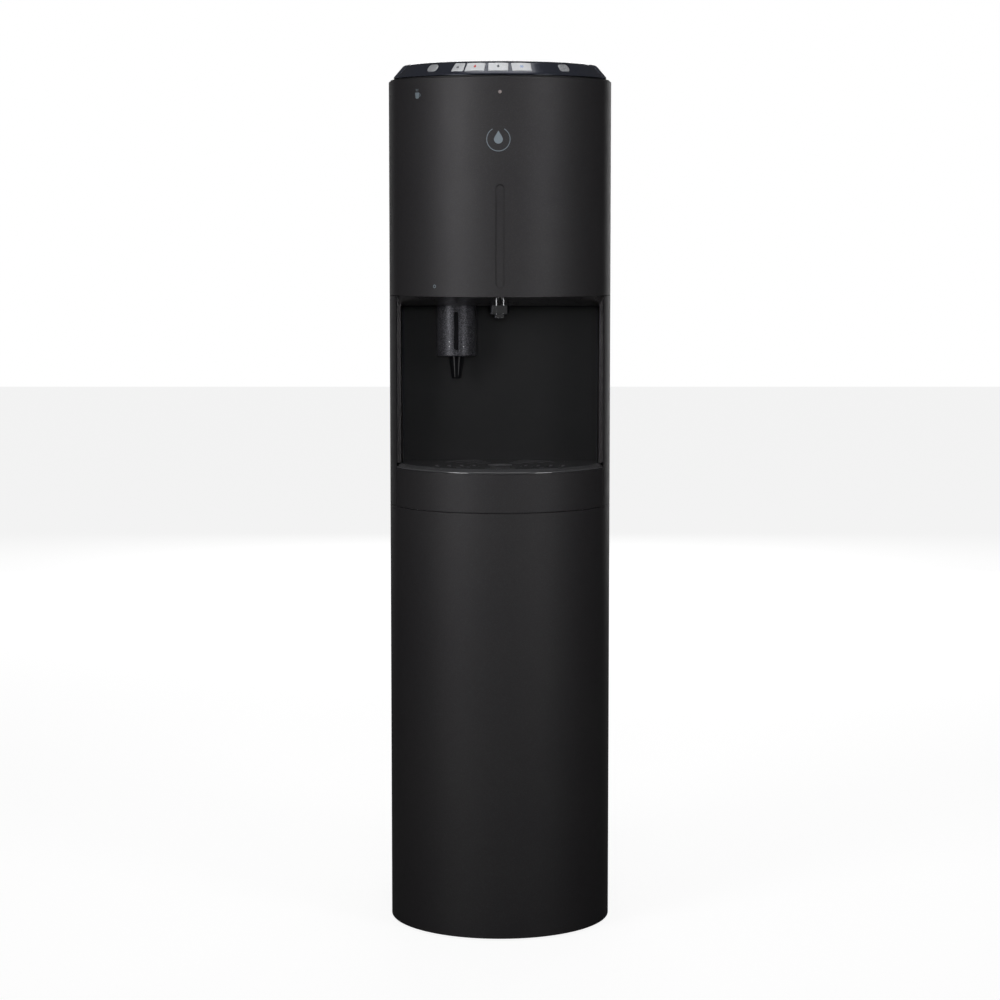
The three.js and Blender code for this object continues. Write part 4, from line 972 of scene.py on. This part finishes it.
@dataclass
class Tray:
    """The drip drawer and its lift-off grid."""

    arc_y: float = -36.5
    radius: float = 144.95
    slot_y: float = -111.5
    slots: tuple[float, ...] = (34.0, 50.0, 66.0, 82.0)
    slot_width: float = 4.2
    bevel: float = 8.0
    dish: float = 18.5
    dish_depth: float = 1.6
    drain: float = 3.0
    drains: int = 6
    drain_ring: float = 0.6
    slot_arcs: tuple[Pair, ...] = ((-90, 24), (-20, 20), (-160, 20), (50, 20), (130, 20))
    slot_border: float = 6.0
    slot_half: float = 116.4
    slot_rear: float = -35.1
    narrow: float = 128.4
    step_y: float = -82.3
    hollow_half: float = 122.4

    def front(self, casing: Casing) -> None:
        """Builds the drawer front.

        Args:
            casing: The casing, whose skin it matches.
        """
        low, high = span("tray_front")
        made = casing.skin("tray_front", 0.5, 0.3)
        made.slice((high.x, 0, 0), (1, 0, 0)).slice((low.x, 0, 0), (-1, 0, 0))
        made.piece("tray_front_skin", CASING, Body.TRAY, "tray_front")

    def slot_tools(self, low: float, high: float) -> Blank:
        """Makes the cutters of the ring slots, kept inside the grid's border.

        Args:
            low: Height of their underside.
            high: Height of their top.

        Returns:
            All the cutters as one blank.
        """
        tools = Blank()
        for ring in self.slots:
            for middle, half in self.slot_arcs:
                inner, outer = ring - self.slot_width / 2, ring + self.slot_width / 2
                outline = [(inner, low), (outer, low), (outer, high), (inner, high)]
                sweep = 2.0 * half
                tools.add(Blank.spun(outline, {}, (0.0, self.slot_y), middle - half, sweep, 16))
        border = self.radius - 0.05 - self.bevel - self.slot_border
        inside = Blank.rod((border, border), Vector((0, self.arc_y, low - 1)),
                           Vector((0, self.arc_y, high + 1)), 160)
        inside.carve(Blank.block((-self.slot_half, -REACH, low - 2),
                                 (self.slot_half, self.slot_rear, high + 2)), Carve.KEEP)
        return tools.carve(inside, Carve.KEEP)

    def grid(self) -> None:
        """Builds the gloss grid with its bevelled front, slots, dish and drains."""
        low, high = span("drip_grid")
        rim, top = self.radius - 0.35, self.radius + 0.05 - self.bevel
        outline = [(0.0, low.z), (rim, low.z), (rim, low.z + 1.6), (top, high.z), (0.0, high.z)]
        made = Blank.spun(outline, {1: 0.3, 2: 1.3, 3: 0.8}, (0.0, self.arc_y), steps=240)
        wide, narrow, step_y, back = high.x, self.narrow, self.step_y, high.y
        plan = [(-wide, -REACH), (wide, -REACH), (wide, step_y), (narrow, step_y),
                (narrow, back), (-narrow, back), (-narrow, step_y), (-wide, step_y)]
        made.carve(Blank.plate(plan, 0.0, Matrix.Translation((0, 0, low.z - 5)), [(0, 20)]),
                   Carve.KEEP)
        under = self.radius - self.bevel - 3
        hollow = Blank.rod((under, under), Vector((0, self.arc_y, low.z - 2)),
                           Vector((0, self.arc_y, high.z - 2.5)), 160)
        hollow.carve(Blank.block((-self.hollow_half, -REACH, 0),
                                 (self.hollow_half, back - 6, 700)), Carve.KEEP)
        made.carve(hollow)
        made.carve(self.slot_tools(low.z - 2, high.z + 2))
        made.carve(Blank.rod((self.dish - 0.8, self.dish + 0.6),
                             Vector((0, self.slot_y, high.z - self.dish_depth)),
                             Vector((0, self.slot_y, high.z + 0.2)), 72))
        for i in range(self.drains):
            turn = i * math.tau / self.drains
            x = self.drain_ring * self.dish * math.cos(turn)
            y = self.slot_y + self.drain_ring * self.dish * math.sin(turn)
            made.carve(Blank.rod((self.drain,) * 2, Vector((x, y, low.z - 2)),
                                 Vector((x, y, high.z + 2)), 28))
        made.ease(0.35, 2)
        # The grid's finish carries a painted sheen over its gloss black.
        made.piece("gloss_grid", GRID, Body.GRID, "drip_grid")

    def build(self, casing: Casing) -> None:
        """Builds the drawer and the grid."""
        self.front(casing)
        Blank.copy_of("drip_tray", 0.4, 0.2).piece("drip_pan", BLACK, Body.TRAY, "drip_tray")
        self.grid()


@dataclass
class Tap:
    """The water tap in the niche ceiling."""

    segments: int = 96

    def build(self) -> None:
        """Builds the collar and the chromed spout."""
        for node, name, finish, hole, round_low in (
            ("tap_collar", "tap_collar_ring", CHROME, 8.65, 1.2),
            ("tap_spout", "tap_spout_tube", CHROME, 5.0, 1.1),
        ):
            low, high = span(node)
            outer = (high.x - low.x) / 2
            centre = ((low.x + high.x) / 2, (low.y + high.y) / 2)
            outline = [(hole, low.z), (outer, low.z), (outer, high.z), (hole, high.z)]
            made = Blank.spun(outline, {0: 0.4, 1: round_low}, centre, steps=self.segments)
            made.piece(name, finish, Body.CABINET, node)


@dataclass
class Holder:
    """The capsule holder with its slot, lugs and nozzle."""

    centre: Pair = (-57.0, -53.5)
    radius: float = 25.75
    lug_radius: float = 28.15
    lug_height: float = 3.6
    bore: float = 18.6
    floor: float = 13.0
    slot: Pair = (5.7, 50.0)
    slot_rise: float = 33.0
    slot_depth: float = 1.6
    dot_radius: float = 0.7
    lugs: int = 3
    first_lug: float = 68.0
    lug_sweep: float = 44.0

    def cup(self) -> None:
        """Builds the cup with its grip slot and bayonet lugs."""
        low, high = span("capsule_holder")
        floor = low.z + self.floor
        outline = [(7.8, low.z), (self.radius, low.z), (self.radius, high.z),
                   (self.bore, high.z), (self.bore, floor + 26), (self.bore - 4, floor),
                   (7.8, floor)]
        made = Blank.spun(outline, {1: 1.4, 3: 0.6, 4: 2.0, 5: 1.2}, self.centre, steps=128)
        half_w, half_l = self.slot[0] / 2 + 0.4, self.slot[1] / 2 + 0.4
        corners = [(-half_w, -half_l), (half_w, -half_l), (half_w, half_l), (-half_w, half_l)]
        front = self.centre[1] - self.radius
        place = Matrix(((1, 0, 0, self.centre[0]), (0, 0, 1, front - 1),
                        (0, 1, 0, low.z + self.slot_rise), (0, 0, 0, 1)))
        steps = [(0, 1 + self.slot_depth)]
        made.carve(Blank.plate(corners, half_w - 0.01, place, steps, segments=12).tidy())
        self.inlay(low.z, front)
        for i in range(self.lugs):
            inner, bottom = self.radius - 0.6, high.z - self.lug_height
            lug = [(inner, bottom), (self.lug_radius, bottom), (self.lug_radius, high.z),
                   (inner, high.z)]
            start = self.first_lug + 360.0 / self.lugs * i
            made.add(Blank.spun(lug, {1: 0.5, 2: 0.5}, self.centre, start, self.lug_sweep, 20))
        made.piece("holder_cup", PEARL, Body.HOLDER, "capsule_holder")

    def inlay(self, low: float, front: float) -> None:
        """Builds the gloss strip in the grip slot.

        Args:
            low: Height of the cup's underside.
            front: Y of the cup's foremost line.
        """
        half_w, half_l = self.slot[0] / 2 - 0.35, self.slot[1] / 2 - 0.35
        corners = [(-half_w, -half_l), (half_w, -half_l), (half_w, half_l), (-half_w, half_l)]
        place = Matrix(((1, 0, 0, self.centre[0]), (0, 0, -1, front + self.slot_depth - 0.02),
                        (0, 1, 0, low + self.slot_rise), (0, 0, 0, 1)))
        strip = Blank.plate(corners, half_w - 0.01, place, [(0, 0.7), (0.2, 0.2)], segments=12)
        strip.piece("holder_slot_strip", GLOSS, Body.HOLDER)

    def marks(self) -> None:
        """Builds the three pale dots and the dark dot beside the slot."""
        low, _ = span("capsule_holder")
        dots = [(-9.2, 18.9, KEY), (-9.2, 12.9, KEY), (9.7, 12.5, KEY), (7.2, 18.5, GLOSS)]
        for index, (arc, rise, finish) in enumerate(dots):
            dot = Blank()
            bmesh.ops.create_circle(dot.bm, cap_ends=True, segments=16,
                                    radius=self.dot_radius)
            dot.top = dot.bm.faces[:][0]
            dot.loft([(0, INK)])
            dot.tidy()
            dot.put(Matrix.Translation((arc, low.z + rise, 0)))
            dot.wrap(self.radius, self.centre[1])
            dot.put(Matrix.Translation((self.centre[0], 0, 0)))
            dot.piece(f"holder_dot_{index}", finish, Body.HOLDER)

    def nozzle(self) -> None:
        """Builds the gloss nozzle."""
        low, high = span("holder_nozzle")
        under = low.z + 29.6
        outline = [(3.5, low.z), (6.2, low.z), (6.9, low.z + 4), (10.9, under), (7.4, under),
                   (7.4, high.z), (3.5, high.z)]
        made = Blank.spun(outline, {0: 0.4, 1: 0.8, 2: 2.0, 3: 0.5, 5: 0.5}, self.centre)
        made.piece("nozzle_tube", GLOSS, Body.HOLDER, "holder_nozzle")

    def build(self) -> None:
        """Builds the cup, its marks and the nozzle."""
        self.cup()
        self.marks()
        self.nozzle()


@dataclass(frozen=True)
class Key:
    """One press key: its place along the head's arc and its outline."""

    node: str
    arc: float
    width: float
    height: float
    slant: float
    corner: float
    finish: Finish
    body: Body


@dataclass
class Head:
    """The control head, its fascia and keys, and the tank lid behind it."""

    arc_y: float = -36.5
    radius: float = 145.0
    base: float = 1107.4
    side: float = 138.2
    corner: float = 22.0
    rear_inset: float = 6.8
    slope: float = math.radians(49.78)
    key_radius: float = 136.504
    key_rise: float = 9.8
    proud: float = 0.9
    thick: float = 5.6
    fit: float = 0.4
    fascia_y: float = -94.0
    fascia_r: float = 121.3
    cap_inset: float = 1.2
    lid_lip: tuple[float, float, float] = (119.6, -15.6, 166.1)
    lid_lip_top: float = 1110.6
    lid_well: tuple[float, float, float] = (102.0, 0.0, 150.5)
    lid_well_top: float = 1122.4
    ear_offset: float = 10.1
    ear_half: float = 4.6
    ear_front: float = 163.1
    knuckle: float = 2.5
    knuckle_half: float = 5.5

    def keys(self) -> list[Key]:
        """Lists the keys and buttons."""
        rows = [("key_lock", -54.0, 16.4, 3.0, Body.LOCK), ("key_hot", -31.6, 25.6, 2.0, Body.HOT),
                ("key_room", -2.2, 25.6, 0.0, Body.ROOM), ("key_cold", 27.2, 25.6, 0.0, Body.COLD)]
        made = [Key(n, a, w, 13.4, s, 1.4, KEY, b) for n, a, w, s, b in rows]
        for node, arc, body in (("button_left", -91.5, Body.LEFT),
                                ("button_right", 86.2, Body.RIGHT)):
            made.append(Key(node, arc, 15.5, 11.5, 0.0, 4.6, BUTTON, body))
        return made

    def place(self, arc: float) -> Matrix:
        """Finds a key's own frame.

        Args:
            arc: Place of the key along the arc.

        Returns:
            Its frame: X along the arc, Y up the slope and Z out of it.
        """
        turn = arc / self.key_radius
        outward = Vector((math.sin(turn), -math.cos(turn), 0))
        along = Vector((math.cos(turn), math.sin(turn), 0))
        up = -math.cos(self.slope) * outward + Vector((0, 0, math.sin(self.slope)))
        centre = outward * self.key_radius + Vector((0, self.arc_y, self.base + self.key_rise))
        made = Matrix((along, up, along.cross(up))).transposed().to_4x4()
        made.translation = centre
        return made

    def key_blank(self, key: Key, grow: float, low: float, steps: Sequence[Pair]) -> Blank:
        """Raises a key's outline.

        Args:
            key: The key.
            grow: Play added all round.
            low: Height of the underside on the key's own Z.
            steps: Inset and rise of each step.

        Returns:
            The blank, on the key's own frame.
        """
        w, h = key.width / 2 + grow, key.height / 2 + grow
        corners = [(w, -h), (w, h), (key.slant - w, h), (-w, -h)]
        return Blank.plate(corners, key.corner + grow, Matrix.Translation((0, 0, low)), steps)

    def build_keys(self) -> None:
        """Builds the keys and their marks."""
        bend = self.key_radius / math.sin(self.slope)
        for key in self.keys():
            low = self.proud - self.thick
            rim = 0.9 if key.finish is BUTTON else 0.75
            steps = [(0, self.thick - 0.55), (rim * 0.25, 0.25), (rim * 0.3, 0.17),
                     (rim * 0.6, 0.13)]
            made = self.key_blank(key, 0.0, low, steps)
            made.score(1.6, key.width / 2).bend(bend).put(self.place(key.arc))
            made.piece(f"{key.node}_cap", key.finish, key.body, key.node)
            for mark, finish in self.mark(key.node):
                mark.score(0.5, 3.0).bend(bend)
                mark.put(self.place(key.arc) @ Matrix.Translation((0, 0, self.proud)))
                mark.piece(f"{key.node}_mark", finish, key.body)

    def mark(self, node: str) -> list[tuple[Blank, Finish]]:
        """Makes a key's generic printed mark.

        Args:
            node: The key's node.

        Returns:
            The mark and its ink, or nothing for a plain button.
        """
        thick = [(0, INK)]
        flat = Matrix.Identity(4)
        if node == "key_lock":
            mark = Blank.plate([(-1.6, -2.2), (1.6, -2.2), (1.6, 0.2), (-1.6, 0.2)], 0.3, flat,
                               thick, 2)
            bow = Blank.spun([(0.75, 0), (1.2, 0), (1.2, INK), (0.75, INK)], {}, (0, 0.2), 0.0,
                             180.0, 14)
            return [(mark.add(bow), GREY_INK)]
        if node == "key_cold":
            mark = Blank.rod((0.35, 0.35), Vector((0, 0, 0)), Vector((0, 0, INK)), 6)
            for i in range(6):
                turn = Matrix.Rotation(i * math.pi / 3, 4, "Z")
                mark.add(Blank.plate([(0.36, -0.2), (2.5, -0.2), (2.5, 0.2), (0.36, 0.2)], 0.0,
                                     turn, thick))
                for tilt in (-40, 40):
                    arm = turn @ Matrix.Translation((1.5, 0, 0)) @ Matrix.Rotation(
                        math.radians(tilt), 4, "Z")
                    mark.add(Blank.plate([(0.3, -0.14), (1.1, -0.14), (1.1, 0.14),
                                          (0.3, 0.14)], 0.0, arm, thick))
            return [(mark, BLUE_INK)]
        if node in ("key_hot", "key_room"):
            return [(drop_shape(1.7, INK), RED_INK if node == "key_hot" else GREY_INK)]
        return []

    def fascia(self) -> None:
        """Builds the gloss fascia with its key openings."""
        b = self.base
        outline = [(141.2, b + 0.1), (143.8, b + 0.1), (143.1, b + 2.0), (131.6, b + 15.6),
                   (127.0, b + 17.6), (self.fascia_r, b + 17.6), (self.fascia_r, b + 15.2),
                   (126.2, b + 15.2), (129.6, b + 13.6), (140.6, b + 0.7)]
        rounds = {1: 0.5, 2: 1.3, 3: 1.6, 4: 1.4, 5: 0.4}
        made = Blank.spun(outline, rounds, (0.0, self.arc_y), 204.0, 132.0, 160)
        made.slice((0, self.fascia_y, 0), (0, 1, 0))
        for key in self.keys():
            tool = self.key_blank(key, self.fit, -12.0, [(0, 20)])
            made.carve(tool.put(self.place(key.arc)))
        made.piece("key_fascia", FASCIA, Body.CABINET, "control_fascia")

    def cap(self) -> Blank:
        """Raises the whole head and lid as one solid."""
        inset = self.cap_inset
        made = Blank.round_front(
            self.side - inset, self.radius - inset, self.arc_y,
            span("rear_panel")[1].y - self.rear_inset - inset, self.corner - inset,
            self.base + 0.3, [(0, 0.1), (0.56, 1.6), (0.5, 0.5), (10.6, 12.5), (0.7, 0.65),
                              (1.2, 0.75), (1.4, 0.65), (1.84, 0.45)])
        return made

    def control_head(self) -> None:
        """Builds the head's top round the fascia."""
        _, high = span("control_head")
        made = self.cap().slice((0, high.y, 0), (0, 1, 0))
        gap = self.fascia_r - 0.7
        outline = [(gap, self.base - 5), (170.0, self.base - 5), (170.0, self.base + 30),
                   (gap, self.base + 30)]
        ring = Blank.spun(outline, {}, (0.0, self.arc_y), 198.0, 144.0, 160)
        made.carve(ring.slice((0, self.fascia_y + self.fit, 0), (0, 1, 0)))
        made.piece("head_top", LID, Body.CABINET, "control_head")

    def lid(self) -> None:
        """Builds the tank lid, hollow underneath, with its hinge knuckles."""
        low, _ = span("tank_lid")
        made = self.cap().slice((0, low.y, 0), (0, -1, 0))
        for (half, front, rear), top in ((self.lid_lip, self.lid_lip_top),
                                         (self.lid_well, self.lid_well_top)):
            made.carve(Blank.block((-half, front, 1000), (half, rear, top)))
        pin_low, pin_high = span("lid_pin_left")
        axis = (pin_low + pin_high) / 2
        for side in (-1, 1):
            for place in (-1, 1):
                middle = side * abs(axis.x) + place * self.ear_offset
                made.carve(Blank.block((middle - self.ear_half, self.ear_front, 1000),
                                       (middle + self.ear_half, REACH, axis.z + 3.1)))
            ends = [Vector((side * abs(axis.x) + x, axis.y, axis.z))
                    for x in (-self.knuckle_half, self.knuckle_half)]
            made.add(Blank.rod((self.knuckle,) * 2, ends[0], ends[1], 32))
        made.piece("tank_cover", LID, Body.LID, "tank_lid")

    def build(self) -> None:
        """Builds the head, fascia, keys and lid."""
        self.fascia()
        self.control_head()
        self.lid()
        self.build_keys()


def drop_shape(radius: float, thick: float) -> Blank:
    """Makes a thin water drop.

    Args:
        radius: Radius of its round end.
        thick: Its thickness.

    Returns:
        The blank, lying on its own X and Y.
    """
    made = Blank()
    bmesh.ops.create_circle(made.bm, cap_ends=True, segments=32, radius=radius)
    for vert in made.bm.verts:
        if vert.co.y > 0:
            rise = vert.co.y / radius
            vert.co.x *= 1 - 0.75 * rise ** 2
            vert.co.y *= 1 + 0.9 * rise
    made.top = made.bm.faces[:][0]
    made.loft([(0, thick)])
    return made.tidy()


def ring_shape(inner: float, outer: float, start: float, sweep: float, thick: float) -> Blank:
    """Makes a thin ring or part of one.

    Args:
        inner: Inner radius.
        outer: Outer radius.
        start: First angle, in degrees.
        sweep: Angle covered, in degrees.
        thick: Its thickness.

    Returns:
        The blank, lying on its own X and Y.
    """
    outline = [(inner, 0.0), (outer, 0.0), (outer, thick), (inner, thick)]
    return Blank.spun(outline, {}, (0.0, 0.0), start, sweep, 40)


@dataclass
class Prints:
    """The generic printed marks on the upper shell."""

    radius: float = 144.955
    arc_y: float = -36.5
    thick: float = INK
    emblem_at: Pair = (-2.0, 1027.0)
    cup_at: Pair = (-117.0, 1084.0)
    ring_at: Pair = (-88.6, 842.5)

    def lay(self, blank: Blank, name: str, arc: float, z: float) -> None:
        """Lays a flat mark on the shell.

        Args:
            blank: The mark on its own X and Y.
            name: Name of the piece.
            arc: Place along the front arc.
            z: Height of its middle.
        """
        blank.score(1.5, 24.0)
        blank.put(Matrix.Translation((arc, z, 0))).wrap(self.radius, self.arc_y)
        blank.piece(name, PRINT, Body.CABINET)

    def build(self) -> None:
        """Builds the drop emblem, the cup mark and the small ring."""
        emblem = ring_shape(14.2, 15.2, 120.0, 300.0, self.thick)
        inner = drop_shape(5.6, self.thick)
        emblem.add(inner)
        self.lay(emblem, "front_drop_emblem", *self.emblem_at)
        cup = Blank.plate([(-3.4, -4.6), (2.4, -4.6), (3.4, 3.0), (-4.4, 3.0)], {0: 1.4, 1: 1.4},
                          Matrix.Identity(4), [(0, self.thick)])
        handle = ring_shape(1.4, 2.2, -80.0, 160.0, self.thick)
        cup.add(handle.put(Matrix.Translation((3.3, -0.2, 0))))
        for x in (-2.2, 1.0):
            cup.add(Blank.plate([(x - 0.5, 4.4), (x + 0.5, 4.4), (x + 0.5, 7.6), (x - 0.5, 7.6)],
                                0.4, Matrix.Identity(4), [(0, self.thick)], 2))
        self.lay(cup, "front_cup_mark", *self.cup_at)
        self.lay(ring_shape(1.2, 2.2, 0.0, 360.0, self.thick), "front_ring_mark", *self.ring_at)


class Fittings:
    """CAD nodes that keep their shape and get a better finish."""

    def build(self, effects: Effects) -> None:
        """Dresses every carried node.

        Args:
            effects: The shared node groups.
        """
        for node, finish in CARRIED.items():
            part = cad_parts[node]
            for place in part.material_slots:
                place.material = finish.material(effects)
            log.info("%s: carried over in %s", node, finish.name)
        Blank.copy_of("water_tank", 0.0).piece("clear_water_tank", CLEAR, Body.TANK,
                                               "water_tank")


@dataclass(frozen=True)
class Lamp:
    """A soft light: where it hangs, where it faces, its size, its power in watts and its beam."""

    name: str
    at: tuple[float, float, float]
    aim: tuple[float, float, float]
    size: Pair
    power: float
    spread: float = 180.0
    sees: Seen = Seen.ALL

    def build(self) -> None:
        """Adds the light, which the camera never sees itself."""
        data = bpy.data.lights.new(self.name, "AREA")
        data.shape = "RECTANGLE"
        data.size, data.size_y = self.size
        data.energy = self.power
        data.spread = math.radians(self.spread)
        made = bpy.data.objects.new(self.name, data)
        made.location = self.at
        facing = Vector(self.aim) - Vector(self.at)
        made.rotation_euler = facing.to_track_quat("-Z", "Y").to_euler()
        made.visible_camera = False
        made.visible_glossy = self.sees is not Seen.DIFFUSE
        made.visible_diffuse = self.sees is not Seen.GLOSSY
        bpy.context.scene.collection.objects.link(made)


LAMPS = (
    Lamp("key_softbox", (-2.0, -2.1, 1.48), (0, 0, 1.05), (1.1, 1.2), 4.6, 64.0),
    Lamp("fill_softbox", (2.1, -2.1, 1.48), (0, 0, 1.05), (0.9, 1.1), 2.8, 64.0),
    Lamp("front_fill", (0.0, -4.4, 1.3), (0, 0, 0.98), (1.6, 0.8), 4.6, 44.0, Seen.DIFFUSE),
    Lamp("left_low_strip", (-1.2, -1.55, 0.05), (0, 0, 0.7), (0.22, 0.9), 1.2,
         sees=Seen.GLOSSY),
    Lamp("right_low_strip", (1.2, -1.55, 0.05), (0, 0, 0.7), (0.22, 0.9), 1.0,
         sees=Seen.GLOSSY),
    Lamp("left_rim", (-1.5, 3.4, 1.0), (0, 0, 0.7), (0.5, 1.8), 3.5),
    Lamp("right_rim", (1.5, 3.4, 1.0), (0, 0, 0.7), (0.6, 1.8), 12.0),
    Lamp("rear_fill", (0, 4.2, 1.5), (0, 0, 0.7), (1.6, 1.4), 36.0),
    Lamp("side_beam_-1", (-3.0, 0.13, 0.62), (0, 0.13, 0.62), (0.06, 1.2), 0.2, 8.0),
    Lamp("side_beam_1", (3.0, 0.13, 0.62), (0, 0.13, 0.62), (0.06, 1.2), 0.2, 8.0),
    Lamp("top_softbox", (0, -0.3, 2.9), (0, 0, 1.0), (1.4, 1.4), 10.0),
)


@dataclass
class Studio:
    """The floor, the backdrop, the lights and the camera."""

    eye: tuple[float, float, float] = (0.0, -3.5735, 0.916)
    pitch: float = 5.783
    lens: float = 96.63

    def stage_material(self) -> bpy.types.Material:
        """Builds the pale stage surface."""
        made = bpy.data.materials.new("PaleStage")
        made.use_nodes = True
        tree = made.node_tree
        shader = tree.nodes["Principled BSDF"]
        shader.inputs["Base Color"].default_value = (0.30, 0.30, 0.30, 1)
        shader.inputs["Roughness"].default_value = 0.9
        shader.inputs["Specular IOR Level"].default_value = 0.0
        path = tree.nodes.new("ShaderNodeLightPath")
        glow = tree.nodes.new("ShaderNodeEmission")
        glow.inputs["Strength"].default_value = 0.88
        dim = tree.nodes.new("ShaderNodeBsdfDiffuse")
        dim.inputs["Color"].default_value = (0.10, 0.10, 0.10, 1)
        bright = tree.nodes.new("ShaderNodeAddShader")
        pick = tree.nodes.new("ShaderNodeMixShader")
        tree.links.new(shader.outputs[0], bright.inputs[0])
        tree.links.new(glow.outputs[0], bright.inputs[1])
        tree.links.new(path.outputs["Is Camera Ray"], pick.inputs[0])
        tree.links.new(dim.outputs[0], pick.inputs[1])
        tree.links.new(bright.outputs[0], pick.inputs[2])
        tree.links.new(pick.outputs[0], tree.nodes["Material Output"].inputs["Surface"])
        return made

    def floor(self) -> None:
        """Builds the floor."""
        bm = bmesh.new()
        bmesh.ops.create_grid(bm, x_segments=1, y_segments=1, size=12.0)
        mesh = bpy.data.meshes.new("stage_floor")
        bm.to_mesh(mesh)
        bm.free()
        mesh.materials.append(self.stage_material())
        made = bpy.data.objects.new("stage_floor", mesh)
        bpy.context.scene.collection.objects.link(made)

    def world(self) -> None:
        """Lights the room dimly, with a pale backdrop behind the object."""
        room = bpy.data.worlds.new("Room")
        bpy.context.scene.world = room
        room.use_nodes = True
        tree = room.node_tree
        dim = tree.nodes["Background"]
        dim.inputs["Color"].default_value = (1, 1, 1, 1)
        dim.inputs["Strength"].default_value = 0.035
        pale = tree.nodes.new("ShaderNodeBackground")
        pale.inputs["Color"].default_value = (1, 1, 1, 1)
        path = tree.nodes.new("ShaderNodeLightPath")
        pick = tree.nodes.new("ShaderNodeMixShader")
        tree.links.new(path.outputs["Is Camera Ray"], pick.inputs[0])
        tree.links.new(dim.outputs[0], pick.inputs[1])
        tree.links.new(pale.outputs[0], pick.inputs[2])
        tree.links.new(pick.outputs[0], tree.nodes["World Output"].inputs["Surface"])

    def camera(self) -> None:
        """Sets the camera and its viewing angle."""
        data = bpy.data.cameras.new("Camera")
        data.lens = self.lens
        data.sensor_width = 36.0
        data.clip_end = 60.0
        made = bpy.data.objects.new("Camera", data)
        made.location = self.eye
        made.rotation_euler = (math.radians(90 - self.pitch), 0, 0)
        bpy.context.scene.collection.objects.link(made)
        bpy.context.scene.camera = made

    def build(self) -> None:
        """Builds the whole studio."""
        bpy.context.scene.view_settings.view_transform = "Standard"
        self.floor()
        self.world()
        self.camera()
        for lamp in LAMPS:
            lamp.build()


def main() -> None:
    """Builds the studio and every sub-assembly in order."""
    logging.basicConfig(level=logging.INFO, format="%(message)s")
    effects = Effects()
    Blank.effects = effects
    Studio().build()
    casing = Casing()
    casing.build()
    Niche().build()
    Tray().build(casing)
    Tap().build()
    Holder().build()
    Head().build()
    Prints().build()
    Fittings().build(effects)


if __name__ == "__main__":
    main()
